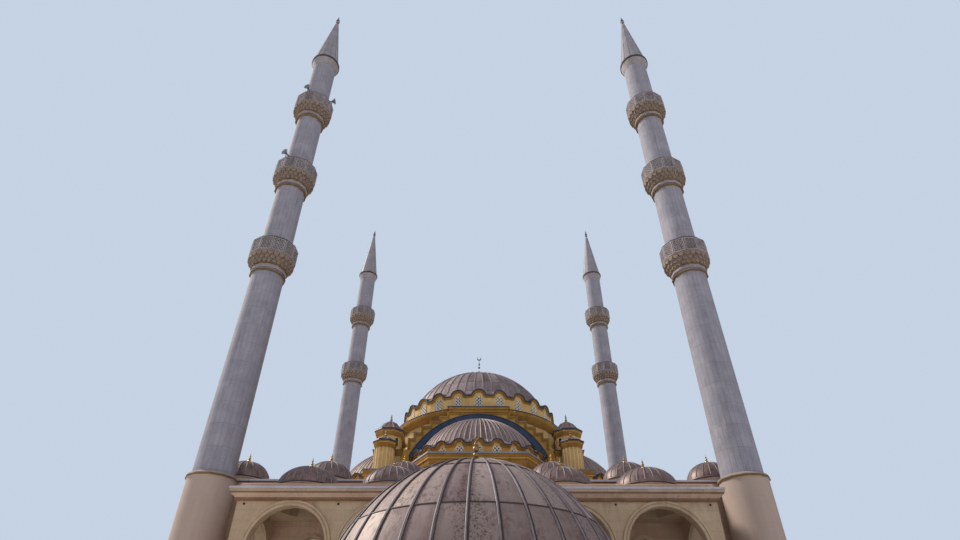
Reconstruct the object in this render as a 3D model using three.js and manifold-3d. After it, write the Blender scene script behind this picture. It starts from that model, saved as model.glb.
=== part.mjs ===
// Mosque with a main dome, four half domes, a portico, a domed forecourt pavilion and four minarets.
// Every size below is a size of the real building in metres, and the group's scale turns it into
// the millimetres of a model at 1:2. +Z is up, the portico faces -Y, and the origin is on the
// ground under the middle of the main dome.
import * as THREE from "three";
import { mergeGeometries, mergeVertices } from "three/addons/utils/BufferGeometryUtils.js";
import Module from "manifold-3d";

const wasm = await Module();
wasm.setup();

// Scale and clearance
const MM_PER_METRE = 500; // 1:2, because the minarets are 60 m high
const GAP = 0.3 / MM_PER_METRE; // clearance between pieces that touch
const BEYOND = 0.5; // how far a cutter reaches past the face that it cuts

// Prayer hall
const BAY = 4.6; // spacing of the portico arches and of the roof's small domes
const HALL = 16.1; // half width of the square hall, outside
const HALL_WALL = 0.9;
const FLOOR_Z = 0.6;
const WALL_TOP_Z = 11.1;
const ROOF_Z = 11.5;
const PARAPET_Z = 11.85;
const PARAPET_WALL = 0.3;
const CORNICE_OUT = 0.2;
const CORNICE_DEEP = 0.4;
const SMALL_DOME = { radius: 1.42, springZ: 12.3, rise: 1.15, sides: 10 };
const DOME_ROW = 14.36; // distance of the rows of small domes from the middle
const HALL_WINDOW = { width: 1.4, lowSillZ: 1.8, lowTopZ: 4.2, highSillZ: 6, highSpringZ: 8.1 };
const DOORWAY = { width: 2.6, springZ: 3.9 };
const STOREY_Z = 5.6; // between the two rows of windows
const HALL_COLUMN_RADIUS = 0.45;

// Piers, great arches and the base of the main drum
const ARCH_FACE = 7.6; // distance of the great arches' outer faces from the middle
const ARCH_WALL = 1.2;
const ARCH_OPENING_RADIUS = 5.1;
const ARCH_SPRING_Z = 13;
const ARCH_TOP_Z = 20.05;
const PIER_OUTER = 7.8;
const PIER_SHOULDER = 5.8;
const PIER_TOP_Z = 16.6;
const BUTTRESS = { inner: 5.6, outer: 8.05, front: 9.85, topZ: 14.5 }; // carries a low turret
const BAND = { centreZ: 13.69, radius: 5.68, innerRadius: 5.1, footZ: 16.1, out: 0.35 }; // lead band
const STEP_CENTRE_Z = 13.2; // middle of the circle that the arch's steps follow
const STEP_RADIUS = 6.8;
const STEP_HALF_WIDTHS = [2.32, 2.93, 3.63, 4.31, 4.84, 5.25, PIER_SHOULDER];
const PENDENTIVE_CENTRE_Z = 13.4;
const PENDENTIVE_RADIUS = 8.2;

// Main drum and dome
const DRUM_SIDES = 24;
const DRUM_BASE_RADIUS = 7;
const DRUM_RING_RADIUS = 7.5;
const DRUM_FOOT_Z = 20.2;
const DRUM_TOP_Z = 21.65;
const DRUM_RADIUS = 6.62;
const DRUM_INNER_RADIUS = 6.05;
const DRUM_WINDOW = { width: 0.62, sillZ: 20.5, springZ: 21.24, arcSteps: 2 };
const MAIN_DOME = {
  radius: 6.55,
  height: 6.55,
  thickness: 0.35,
  centreZ: 19.65,
  skirtRadius: 6.75,
  skirtTopZ: 22.2,
  tipZ: 29.15,
};

// Half domes on their half hexagons
const HALF_DOME_CENTRE = 7.1; // distance of their axes from the middle
const HEXAGON_APOTHEM = 5.5;
const HEXAGON_WALL = 0.7;
const HEXAGON_TOP_Z = 14.72;
const HALF_DRUM_RADIUS = 4.95;
const HALF_DRUM_WALL = 0.5;
const HALF_DRUM_TOP_Z = 15.65;
const HALF_DRUM_WINDOW = { width: 0.6, sillZ: 14.85, springZ: 15.22, arcSteps: 1 };
const HALF_DOME = {
  radius: 5,
  height: 5,
  thickness: 0.35,
  centreZ: 13.95,
  skirtRadius: 5.05,
  skirtTopZ: 16.05,
};

// Turrets
const TALL_TURRET = { x: 6.9, y: 6.9, radius: 1, eaveRadius: 1.19, footZ: PIER_TOP_Z };
TALL_TURRET.heights = { eaveZ: 18.22, crownZ: 19.1, tipZ: 19.7 };
const LOW_TURRET = { x: 6.85, y: 8.9, radius: 0.72, eaveRadius: 0.91, footZ: BUTTRESS.topZ };
LOW_TURRET.heights = { eaveZ: 16.7, crownZ: 17.12, tipZ: 17.5 };
const TURRET_SIDES = 8;

// Portico
const PORTICO_Y = 20.6; // distance of its front face from the middle
const PORTICO = 11.97; // half width
const PORTICO_BAYS = 5;
const ARCADE_WALL = 0.55;
const ARCADE_ARCH_RADIUS = 1.95;
const SIDE_ARCH_RADIUS = 1.7;
const ARCADE_SPRING_Z = 7.4;
const PORTICO_CEILING_Z = 9.58;
const PORTICO_ROOF_Z = 10.12;
const PORTICO_EAVES = { out: 0.38, footZ: 9.93 };
const PORTICO_DOME = { radius: 1.62, springZ: 10.55, rise: 1.3, sides: 12 };
const COLUMN = { radius: 0.25, baseRadius: 0.34, capitalRadius: 0.36, keyHeight: 0.05, sides: 8 };
const FRONT_STEPS = { count: 4, tread: 0.46, halfWidth: 6 };

// Forecourt pavilion
const PLINTH_APOTHEM = 5.8;
const PLINTH_STEP = 0.3;
const PLINTH_RISE = 0.15;
const PAVILION_APOTHEM = 5.1;
const PAVILION_WALL = 0.5;
const PAVILION_SPRING_Z = 1.85;
const PAVILION_ARCH_RADIUS = 1.45;
const PAVILION_TOP_Z = 3.9;
const PAVILION_CORNICE_Z = 3.55;
const PAVILION_DOME = {
  radius: 5.45,
  height: 5.75,
  thickness: 0.3,
  centreZ: 3,
  skirtRadius: 5.45,
  skirtTopZ: 4.2,
  tipZ: 10.12,
};

// Minarets
const MINARET_SIDES = 12;
const PEDESTAL = { radius: 1.34, ringOut: 0.06, ringZ: 11.46, ringTopZ: 11.58 };
const MINARET_X = { front: 15, rear: 16.27 };
const COLLARS_Z = { front: [25.64, 33.92, 42.37], rear: [33.92, 42.37] };
const COLLAR_RADIUS = 1.26;
const SHAFT_FOOT = { z: 11.74, radius: 1.17 };
const SHAFT_TOP = { z: 50.9, radius: 1.03 };
const BALCONY = { radius: 1.84, corbelFoot: 0.45, floor: 1, parapet: 2.56, parapetWall: 0.14 };
const STAIRWELL_RADIUS = 0.72;
const SPIRE = { radius: 1.27, neckZ: 58.55, tipZ: 60 };

// Finishes
const paint = (color, roughness, metalness = 0) =>
  new THREE.MeshStandardMaterial({ color, roughness, metalness });
const CREAM_WALL = paint(0xcbb894, 0.85);
const PORTICO_STONE = paint(0xb9a58a, 0.8);
const PODIUM_STONE = paint(0xa89f92, 0.85);
const MINARET_STONE = paint(0xa7a2a0, 0.8);
const LEAD = paint(0x7c7480, 0.5, 0.6);
const PATINATED_LEAD = paint(0x8d8083, 0.55, 0.5);

// A closed geometry as a solid with its faces pointing out.
function solidOf(geometry) {
  const bare = geometry.index ? geometry.toNonIndexed() : geometry.clone();
  bare.deleteAttribute("normal");
  bare.deleteAttribute("uv");
  const merged = mergeVertices(bare, 1e-6);
  const vertProperties = merged.attributes.position.array;
  const faces = new Uint32Array(merged.index.array);
  const made = new wasm.Manifold(new wasm.Mesh({ numProp: 3, vertProperties, triVerts: faces }));
  if (made.volume() > 0) return made;
  for (let i = 0; i < faces.length; i += 3) {
    [faces[i + 1], faces[i + 2]] = [faces[i + 2], faces[i + 1]];
  }
  return new wasm.Manifold(new wasm.Mesh({ numProp: 3, vertProperties, triVerts: faces }));
}

function geometryOf(solid) {
  const { numProp, numVert, vertProperties, triVerts } = solid.getMesh();
  const positions = new Float32Array(numVert * 3);
  for (let i = 0; i < numVert; i++) {
    positions.set(vertProperties.subarray(i * numProp, i * numProp + 3), i * 3);
  }
  const geometry = new THREE.BufferGeometry();
  geometry.setAttribute("position", new THREE.BufferAttribute(positions, 3));
  geometry.setIndex(new THREE.BufferAttribute(new Uint32Array(triVerts), 1));
  return geometry;
}

const joined = (solids) => solids.reduce((whole, piece) => whole.add(piece));
const cut = (solid, cutters) => cutters.reduce((rest, cutter) => rest.subtract(cutter), solid);
const turned = (geometry, angle) => geometry.clone().rotateZ(angle);

// Basic shapes, each as a three.js geometry in real metres
function box(x0, x1, y0, y1, z0, z1) {
  const block = new THREE.BoxGeometry(x1 - x0, y1 - y0, z1 - z0);
  return block.translate((x0 + x1) / 2, (y0 + y1) / 2, (z0 + z1) / 2);
}

// A profile of [radius, height] points turned about the z axis. A flat side faces -Y.
function turnedProfile(points, sides) {
  const profile = points.map(([radius, z]) => new THREE.Vector2(radius, z));
  return new THREE.LatheGeometry(profile, sides, Math.PI / sides).rotateX(Math.PI / 2);
}

function upright(outline, z0, z1) {
  return new THREE.ExtrudeGeometry(outline, { depth: z1 - z0, bevelEnabled: false }).translate(0, 0, z0);
}

// A plate that stands in the XZ plane, from y0 to y1, with arcs of twice arcSteps chords.
function standing(outline, y0, y1, arcSteps) {
  const settings = { depth: y1 - y0, bevelEnabled: false, curveSegments: arcSteps };
  return new THREE.ExtrudeGeometry(outline, settings).rotateX(Math.PI / 2).translate(0, y1, 0);
}

// A regular polygon with a flat side facing -Y, by the distance of its sides from its middle.
function polygon(sides, apothem) {
  const outline = new THREE.Shape();
  const radius = apothem / Math.cos(Math.PI / sides);
  for (let i = 0; i < sides; i++) {
    const angle = (Math.PI * (2 * i + 1)) / sides - Math.PI / 2;
    const point = [radius * Math.cos(angle), radius * Math.sin(angle)];
    if (i === 0) outline.moveTo(...point);
    else outline.lineTo(...point);
  }
  return outline;
}

// An opening with a round head, and its outline's foot at sillZ.
function archedOutline(middle, halfWidth, sillZ, springZ) {
  const outline = new THREE.Shape();
  outline.moveTo(middle - halfWidth, sillZ);
  outline.lineTo(middle + halfWidth, sillZ);
  outline.lineTo(middle + halfWidth, springZ);
  outline.absarc(middle, springZ, halfWidth, 0, Math.PI, false);
  return outline;
}

// Points of a dome's curve from height z0 up to its crown, in equal angles, inside its face by inset.
function domeCurve({ radius, height, centreZ }, inset, z0, steps) {
  const first = Math.asin((z0 - centreZ) / (height - inset));
  const points = [];
  for (let i = 0; i < steps; i++) {
    const angle = first + ((Math.PI / 2 - first) * i) / steps;
    points.push([(radius - inset) * Math.cos(angle), centreZ + (height - inset) * Math.sin(angle)]);
  }
  return [...points, [0, centreZ + height - inset]];
}

// A hollow dome that flares into a skirt at its foot. Its inside has half as many sides.
function domeShell(dome, footZ, steps, sides) {
  const curve = domeCurve(dome, 0, dome.skirtTopZ, steps);
  const shell = solidOf(turnedProfile([[0, footZ], [dome.skirtRadius, footZ], ...curve], sides));
  const inside = domeCurve(dome, dome.thickness, footZ, steps - 1);
  const below = [[0, footZ - BEYOND], [inside[0][0], footZ - BEYOND]];
  return shell.subtract(solidOf(turnedProfile([...below, ...inside], sides / 2)));
}

// A finial of two knobs and a spike, as profile points from its neck up to the tip.
function finialProfile(neckZ, tipZ, radius) {
  const height = tipZ - neckZ;
  return [
    [radius * 0.45, neckZ],
    [radius, neckZ + height * 0.2],
    [radius * 0.35, neckZ + height * 0.36],
    [radius * 0.75, neckZ + height * 0.52],
    [radius * 0.25, neckZ + height * 0.66],
    [0, tipZ],
  ];
}

function finial(neckZ, tipZ, radius, sides, rootZ) {
  const profile = finialProfile(neckZ, tipZ, radius);
  return solidOf(turnedProfile([[0, rootZ], [radius * 0.45, rootZ], ...profile], sides));
}

// Everything that stands on the ground is added here, at the model's scale.
const mosque = new THREE.Group();
mosque.scale.setScalar(MM_PER_METRE);

function place(name, solid, material, x = 0, y = 0, turn = 0) {
  const mesh = new THREE.Mesh(geometryOf(solid), material);
  mesh.name = name;
  mesh.position.set(x, y, 0);
  mesh.rotation.z = turn;
  mosque.add(mesh);
}

// The four sides and four corners of the plan, with the turn that brings the front one there.
const SIDES = { front: 0, right: Math.PI / 2, rear: Math.PI, left: -Math.PI / 2 };
const CORNERS = {
  front_left: [-1, -1],
  front_right: [1, -1],
  rear_left: [-1, 1],
  rear_right: [1, 1],
};

const pedestalApothem = PEDESTAL.radius * Math.cos(Math.PI / MINARET_SIDES);
const minaretY = HALL + pedestalApothem + GAP;
const minaretPlaces = Object.entries(CORNERS).map(([corner, [sx, sy]]) => {
  const end = sy < 0 ? "front" : "rear";
  return { corner, end, x: sx * MINARET_X[end], y: sy * minaretY };
});

// Podium with the portico's front steps
function podium() {
  const hall = solidOf(box(-HALL, HALL, -HALL, HALL, 0, FLOOR_Z));
  const porch = solidOf(box(-PORTICO, PORTICO, -PORTICO_Y, -HALL + BEYOND, 0, FLOOR_Z));
  const { count, tread, halfWidth } = FRONT_STEPS;
  const steps = [];
  for (let i = 1; i <= count; i++) {
    const top = FLOOR_Z * (1 - i / (count + 1));
    const front = -PORTICO_Y - tread * i;
    steps.push(solidOf(box(-halfWidth, halfWidth, front, -PORTICO_Y + BEYOND, 0, top)));
  }
  return joined([hall, porch, ...steps]);
}
const stepsFrontY = -PORTICO_Y - FRONT_STEPS.tread * FRONT_STEPS.count;

// Hall walls, each drawn as the front one stands and turned to its side: the whole height or one storey
function hallWall(halfWidth, hasDoorway, footZ = FLOOR_Z, topZ = WALL_TOP_Z) {
  const { width, lowSillZ, lowTopZ, highSillZ, highSpringZ } = HALL_WINDOW;
  const wall = solidOf(box(-halfWidth, halfWidth, -HALL, -HALL + HALL_WALL, footZ + GAP, topZ));
  const openings = [];
  const through = (shape) => solidOf(standing(shape, -HALL - BEYOND, -HALL + HALL_WALL + BEYOND, 2));
  for (let bay = -2; bay <= 2; bay++) {
    const middle = bay * BAY;
    openings.push(through(archedOutline(middle, width / 2, highSillZ, highSpringZ)));
    if (hasDoorway && bay === 0) {
      openings.push(through(archedOutline(0, DOORWAY.width / 2, FLOOR_Z - BEYOND, DOORWAY.springZ)));
      continue;
    }
    const [y0, y1] = [-HALL - BEYOND, -HALL + HALL_WALL + BEYOND];
    openings.push(solidOf(box(middle - width / 2, middle + width / 2, y0, y1, lowSillZ, lowTopZ)));
  }
  return cut(wall, openings);
}

// Piers under the corners of the main drum
function pier(sx, sy) {
  const square = (inner, z0, z1) => {
    const [x0, x1] = [sx * inner, sx * PIER_OUTER].sort((a, b) => a - b);
    const [y0, y1] = [sy * inner, sy * PIER_OUTER].sort((a, b) => a - b);
    return solidOf(box(x0, x1, y0, y1, z0, z1));
  };
  const shaft = square(ARCH_OPENING_RADIUS, FLOOR_Z + GAP, ARCH_SPRING_Z);
  const { inner, outer, front, topZ } = BUTTRESS;
  const [ledge, back] = [CORNICE_OUT / 2, PIER_OUTER - 0.1];
  const cornerBlock = (out, z0) => {
    const [x0, x1] = [sx * inner, sx * (outer - out)].sort((a, b) => a - b);
    const [y0, y1] = [sy * back, sy * (front - out)].sort((a, b) => a - b);
    return solidOf(box(x0, x1, y0, y1, z0, topZ));
  };
  const buttress = cornerBlock(ledge, ROOF_Z + GAP).add(cornerBlock(0, topZ - CORNICE_DEEP));
  return joined([shaft, square(PIER_SHOULDER, ARCH_SPRING_Z - BEYOND, PIER_TOP_Z), buttress]);
}

// Space that the four piers take, with clearance, to be cut from what stands round them.
function pierClearances() {
  const [low, high] = [ARCH_OPENING_RADIUS - GAP, PIER_SHOULDER - GAP];
  const far = PIER_OUTER + GAP;
  const clearances = [];
  for (const [sx, sy] of Object.values(CORNERS)) {
    const block = (inner, z0, z1) => {
      const [x0, x1] = [sx * inner, sx * far].sort((a, b) => a - b);
      const [y0, y1] = [sy * inner, sy * far].sort((a, b) => a - b);
      return solidOf(box(x0, x1, y0, y1, z0, z1));
    };
    clearances.push(block(low, 0, ARCH_SPRING_Z + GAP), block(high, 0, DRUM_FOOT_Z));
  }
  return clearances;
}

// Space for the two buttresses in front of the front piers
function buttressClearances() {
  const { inner, outer, front, topZ } = BUTTRESS;
  return [-1, 1].map((sx) => {
    const [x0, x1] = [sx * (inner - GAP), sx * (outer + GAP)].sort((a, b) => a - b);
    return solidOf(box(x0, x1, -front - GAP, -ARCH_FACE, ROOF_Z, topZ + BEYOND));
  });
}

// A small roof dome on a round drum, with its spike, and the hollow under it
function smallDome(dome, footZ, x, y) {
  const { radius, springZ, rise, sides } = dome;
  const crown = springZ + rise;
  const profile = [
    [0, footZ],
    [radius, footZ],
    [radius, springZ],
    [radius * 0.84, springZ + rise * 0.52],
    [radius * 0.48, springZ + rise * 0.88],
    [0, crown],
  ];
  const shell = solidOf(turnedProfile(profile, sides).translate(x, y, 0));
  const spike = turnedProfile([[0, crown - 0.2], [0.07, crown - 0.2], [0.07, crown + 0.2], [0, crown + 0.45]], 4);
  return shell.add(solidOf(spike.translate(x, y, 0)));
}

function smallDomeHollow(dome, footZ, x, y) {
  const { radius, springZ, rise } = dome;
  const profile = [
    [0, footZ - BEYOND],
    [radius * 0.8, footZ - BEYOND],
    [radius * 0.8, springZ],
    [0, springZ + rise * 0.75],
  ];
  return solidOf(turnedProfile(profile, 6).translate(x, y, 0));
}

// Hall roof, in four parts round the half domes' hexagons
function hallRoof(isFull) {
  const inner = -PIER_OUTER - GAP;
  const reach = isFull ? HALL : PIER_OUTER;
  const side = isFull ? HALL + CORNICE_OUT : PIER_OUTER;
  const deck = solidOf(box(-reach, reach, -HALL, inner, WALL_TOP_Z + GAP, ROOF_Z));
  const cornice = [-HALL - CORNICE_OUT, -HALL + PARAPET_WALL, PARAPET_Z - CORNICE_DEEP, PARAPET_Z];
  const parts = [deck, solidOf(box(-side, side, ...cornice))];
  parts.push(solidOf(box(-reach, reach, -HALL, -HALL + PARAPET_WALL, ROOF_Z - GAP, PARAPET_Z)));
  const places = [];
  const lastBay = isFull ? 3 : 1;
  for (let bay = -lastBay; bay <= lastBay; bay++) {
    places.push([Math.abs(bay) < 3 ? bay * BAY : Math.sign(bay) * DOME_ROW, -DOME_ROW]);
  }
  if (isFull) {
    for (const sx of [-1, 1]) {
      const [x0, x1] = sx < 0 ? [-side, -HALL + PARAPET_WALL] : [HALL - PARAPET_WALL, side];
      parts.push(solidOf(box(x0, x1, -side, inner, PARAPET_Z - CORNICE_DEEP, PARAPET_Z)));
      const [x2, x3] = sx < 0 ? [-HALL, -HALL + PARAPET_WALL] : [HALL - PARAPET_WALL, HALL];
      parts.push(solidOf(box(x2, x3, -HALL, inner, ROOF_Z - GAP, PARAPET_Z)));
      places.push([sx * DOME_ROW, -2 * BAY]);
    }
  }
  for (const [x, y] of places) parts.push(smallDome(SMALL_DOME, ROOF_Z - GAP, x, y));
  const hexagon = upright(polygon(6, HEXAGON_APOTHEM - HEXAGON_WALL), WALL_TOP_Z - BEYOND, ROOF_Z + BEYOND);
  const cutters = [solidOf(hexagon.translate(0, -HALF_DOME_CENTRE, 0))];
  for (const [x, y] of places) cutters.push(smallDomeHollow(SMALL_DOME, WALL_TOP_Z, x, y));
  return cut(joined(parts), cutters);
}

// The two columns under the outer corners of a hexagon
function hallColumns(topZ) {
  const apothem = HEXAGON_APOTHEM - HEXAGON_WALL / 2;
  return [-1, 1].map((side) => {
    const column = upright(polygon(8, HALL_COLUMN_RADIUS), FLOOR_Z + GAP, topZ);
    const [x, y] = [side * apothem * Math.tan(Math.PI / 6), -HALF_DOME_CENTRE - apothem];
    return solidOf(column.translate(x, y, 0));
  });
}

function minaretClearances(turn) {
  return minaretPlaces.map(({ x, y }) => {
    const around = (out, z0, z1) => {
      const prism = upright(polygon(MINARET_SIDES, pedestalApothem + out + GAP), z0, z1);
      return solidOf(prism.translate(x, y, 0).rotateZ(-turn));
    };
    const pedestal = around(0, WALL_TOP_Z, PEDESTAL.ringZ);
    return pedestal.add(around(PEDESTAL.ringOut, PEDESTAL.ringZ - 0.05, PARAPET_Z + BEYOND));
  });
}

// Windows through a round wall, one in the middle of each of its flat sides
function radialWindows(window, from, to, innerRadius, outerRadius) {
  const shape = archedOutline(0, window.width / 2, window.sillZ, window.springZ);
  const first = standing(shape, -outerRadius, -innerRadius, window.arcSteps);
  const all = [];
  for (let i = from; i <= to; i++) all.push(turned(first, (2 * Math.PI * i) / DRUM_SIDES));
  return solidOf(mergeGeometries(all));
}

// Half hexagon of walls with a half drum of windows on it, in front of the front great arch
function halfDomeBase(isFull) {
  const innerApothem = HEXAGON_APOTHEM - HEXAGON_WALL;
  const ledgeZ = HEXAGON_TOP_Z - CORNICE_DEEP;
  const innerRadius = HALF_DRUM_RADIUS - HALF_DRUM_WALL;
  const walls = cut(solidOf(upright(polygon(6, HEXAGON_APOTHEM), ROOF_Z + GAP, HEXAGON_TOP_Z)), [
    solidOf(upright(polygon(6, innerApothem), ROOF_Z - BEYOND, ledgeZ)),
  ]);
  const cornice = solidOf(upright(polygon(6, HEXAGON_APOTHEM + CORNICE_OUT), ledgeZ, HEXAGON_TOP_Z));
  const drumProfile = [[0, ledgeZ], [HALF_DRUM_RADIUS, ledgeZ], [HALF_DRUM_RADIUS, HALF_DRUM_TOP_Z]];
  const drum = solidOf(turnedProfile([...drumProfile, [0, HALF_DRUM_TOP_Z]], DRUM_SIDES));
  const wellProfile = [[0, ROOF_Z], [innerRadius, ROOF_Z], [innerRadius, HALF_DRUM_TOP_Z + BEYOND]];
  const well = solidOf(turnedProfile([...wellProfile, [0, HALF_DRUM_TOP_Z + BEYOND]], DRUM_SIDES));
  const windows = radialWindows(HALF_DRUM_WINDOW, -5, 5, innerRadius - BEYOND, HALF_DRUM_RADIUS + BEYOND);
  const whole = cut(joined([walls, cornice, drum]), [well, windows]);
  const cutters = [behindArchFace(), ...pierClearances()];
  if (isFull) cutters.push(...buttressClearances());
  return cut(whole.translate([0, -HALF_DOME_CENTRE, 0]), cutters);
}

// Everything on the inner side of the front great arch's outer face
function behindArchFace() {
  return solidOf(box(-HALL, HALL, -ARCH_FACE - GAP, HALL, 0, ARCH_TOP_Z + BEYOND));
}

function halfDome() {
  const whole = domeShell(HALF_DOME, HALF_DRUM_TOP_Z + GAP, 5, DRUM_SIDES);
  return whole.translate([0, -HALF_DOME_CENTRE, 0]).subtract(behindArchFace());
}

// Great arch with its stepped top and the lead band round the half dome
function greatArch() {
  const outline = new THREE.Shape();
  const last = STEP_HALF_WIDTHS.length - 1;
  const treadZ = (i) => STEP_CENTRE_Z + Math.sqrt(STEP_RADIUS ** 2 - STEP_HALF_WIDTHS[i] ** 2);
  const steps = [];
  for (let i = last; i >= 1; i--) {
    steps.push([STEP_HALF_WIDTHS[i], treadZ(i)], [STEP_HALF_WIDTHS[i - 1], treadZ(i)]);
  }
  steps.push([STEP_HALF_WIDTHS[0], ARCH_TOP_Z - GAP]);
  outline.moveTo(-PIER_SHOULDER + GAP, ARCH_SPRING_Z + GAP);
  const leftSteps = steps.map(([x, z], i) => [i === 0 ? -x + GAP : -x, z]);
  for (const [x, z] of leftSteps) outline.lineTo(x, z);
  for (const [x, z] of leftSteps.reverse()) outline.lineTo(-x, z);
  outline.lineTo(PIER_SHOULDER - GAP, ARCH_SPRING_Z + GAP);
  outline.lineTo(ARCH_OPENING_RADIUS, ARCH_SPRING_Z + GAP);
  outline.absarc(0, ARCH_SPRING_Z + GAP, ARCH_OPENING_RADIUS, 0, Math.PI, false);
  const wall = solidOf(standing(outline, -ARCH_FACE, -ARCH_FACE + ARCH_WALL, 6));

  const outerFoot = Math.asin((BAND.footZ - BAND.centreZ) / BAND.radius);
  const innerFoot = Math.asin((BAND.footZ - HALF_DOME.centreZ) / BAND.innerRadius);
  const ring = new THREE.Shape();
  ring.absarc(0, BAND.centreZ, BAND.radius, outerFoot, Math.PI - outerFoot, false);
  ring.absarc(0, HALF_DOME.centreZ, BAND.innerRadius, Math.PI - innerFoot, innerFoot, true);
  const band = solidOf(standing(ring, -ARCH_FACE - BAND.out, -ARCH_FACE + BEYOND / 5, 6));
  return cut(wall.add(band), pierClearances());
}

// Pendentives and the round wall over them, with the drum's ring cornice
function drumBase() {
  const inside = ARCH_FACE - ARCH_WALL - GAP;
  const block = solidOf(box(-inside, inside, -inside, inside, ARCH_SPRING_Z + GAP, ARCH_TOP_Z));
  const corner = inside * Math.SQRT2 + BEYOND;
  const outer = [
    [0, 0],
    [corner, 0],
    [corner, PIER_TOP_Z - BEYOND],
    [DRUM_BASE_RADIUS, ARCH_TOP_Z - 1.7],
    [DRUM_BASE_RADIUS, ARCH_TOP_Z + BEYOND],
    [0, ARCH_TOP_Z + BEYOND],
  ];
  const round = block.intersect(solidOf(turnedProfile(outer, DRUM_SIDES)));
  const ring = [[0, ARCH_TOP_Z], [DRUM_RING_RADIUS, ARCH_TOP_Z]];
  ring.push([DRUM_RING_RADIUS, DRUM_FOOT_Z], [0, DRUM_FOOT_Z]);
  const sphere = new THREE.SphereGeometry(PENDENTIVE_RADIUS, DRUM_SIDES, 16).rotateX(Math.PI / 2);
  const bowl = solidOf(sphere.translate(0, 0, PENDENTIVE_CENTRE_Z));
  const eyeRadius = Math.sqrt(PENDENTIVE_RADIUS ** 2 - (ARCH_TOP_Z - 0.8 - PENDENTIVE_CENTRE_Z) ** 2);
  const eye = [[0, ARCH_SPRING_Z], [eyeRadius, ARCH_SPRING_Z], [eyeRadius, DRUM_FOOT_Z + BEYOND]];
  const shaft = solidOf(turnedProfile([...eye, [0, DRUM_FOOT_Z + BEYOND]], DRUM_SIDES));
  const lidded = round.add(solidOf(turnedProfile(ring, DRUM_SIDES)));
  const cap = solidOf(box(-corner, corner, -corner, corner, ARCH_TOP_Z, DRUM_FOOT_Z + 2 * BEYOND + 5));
  return cut(lidded, [bowl.subtract(cap), shaft, ...pierClearances()]);
}

function mainDrum() {
  const [z0, z1] = [DRUM_FOOT_Z + GAP, DRUM_TOP_Z];
  const profile = [[DRUM_INNER_RADIUS, z0], [DRUM_RADIUS, z0], [DRUM_RADIUS, z1], [DRUM_INNER_RADIUS, z1]];
  const wall = solidOf(turnedProfile([...profile, profile[0]], DRUM_SIDES));
  const [inner, outer] = [DRUM_INNER_RADIUS - BEYOND, DRUM_RADIUS + BEYOND];
  return wall.subtract(radialWindows(DRUM_WINDOW, 0, DRUM_SIDES - 1, inner, outer));
}

function mainDome() {
  const top = MAIN_DOME.centreZ + MAIN_DOME.height;
  const shell = domeShell(MAIN_DOME, DRUM_TOP_Z + GAP, 6, 2 * DRUM_SIDES);
  return shell.add(finial(top - 0.05, MAIN_DOME.tipZ, 0.26, 8, top - 0.25));
}

// A turret with a flaring eave, a low cap and a spike
function turret({ radius, eaveRadius, footZ, heights: { eaveZ, crownZ, tipZ } }) {
  const capHeight = crownZ - eaveZ;
  const profile = [
    [0, footZ + GAP],
    [radius, footZ + GAP],
    [radius, eaveZ - 0.4],
    [eaveRadius, eaveZ],
    [eaveRadius, eaveZ + 0.08],
    [eaveRadius * 0.64, eaveZ + capHeight * 0.35],
    [eaveRadius * 0.34, eaveZ + capHeight * 0.8],
    [0.06, crownZ],
    [0, tipZ],
  ];
  return solidOf(turnedProfile(profile, TURRET_SIDES));
}

// Portico arcade, ends and roof
function columnSolid(x, y, topZ) {
  const { radius, baseRadius, capitalRadius, keyHeight, sides } = COLUMN;
  const profile = [
    [0, FLOOR_Z + GAP],
    [baseRadius, FLOOR_Z + GAP],
    [baseRadius, FLOOR_Z + 0.35],
    [radius, FLOOR_Z + 0.5],
    [radius, topZ - 0.75],
    [capitalRadius, topZ - 0.25],
    [capitalRadius, topZ + keyHeight],
    [0, topZ + keyHeight],
  ];
  return solidOf(turnedProfile(profile, sides).translate(x, y, 0));
}

function frontArcade() {
  const outline = new THREE.Shape();
  outline.moveTo(-PORTICO, ARCADE_SPRING_Z);
  outline.lineTo(-PORTICO, PORTICO_CEILING_Z - GAP);
  outline.lineTo(PORTICO, PORTICO_CEILING_Z - GAP);
  outline.lineTo(PORTICO, ARCADE_SPRING_Z);
  const lastBay = (PORTICO_BAYS - 1) / 2;
  for (let bay = lastBay; bay >= -lastBay; bay--) {
    outline.lineTo(bay * BAY + ARCADE_ARCH_RADIUS, ARCADE_SPRING_Z);
    outline.absarc(bay * BAY, ARCADE_SPRING_Z, ARCADE_ARCH_RADIUS, 0, Math.PI, false);
  }
  const parts = [solidOf(standing(outline, -PORTICO_Y, -PORTICO_Y + ARCADE_WALL, 5))];
  for (let i = 0; i <= PORTICO_BAYS; i++) {
    const x = (i - PORTICO_BAYS / 2) * BAY;
    parts.push(columnSolid(x, -PORTICO_Y + ARCADE_WALL / 2 + 0.1, ARCADE_SPRING_Z));
  }
  return joined(parts);
}

// One end of the portico, drawn in the XZ plane with x for the distance from the hall
function endArcade() {
  const depth = PORTICO_Y - ARCADE_WALL - HALL - 2 * GAP;
  const foot = 0.35;
  const springZ = ARCADE_SPRING_Z + COLUMN.keyHeight + GAP;
  const outline = new THREE.Shape();
  outline.moveTo(0, FLOOR_Z + GAP);
  outline.lineTo(0, PORTICO_CEILING_Z - GAP);
  outline.lineTo(depth, PORTICO_CEILING_Z - GAP);
  outline.lineTo(depth, springZ);
  outline.lineTo(foot + 2 * SIDE_ARCH_RADIUS, springZ);
  outline.absarc(foot + SIDE_ARCH_RADIUS, springZ, SIDE_ARCH_RADIUS, 0, Math.PI, false);
  outline.lineTo(foot, FLOOR_Z + GAP);
  return solidOf(standing(outline, -ARCADE_WALL, 0, 5).rotateZ(-Math.PI / 2));
}

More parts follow.
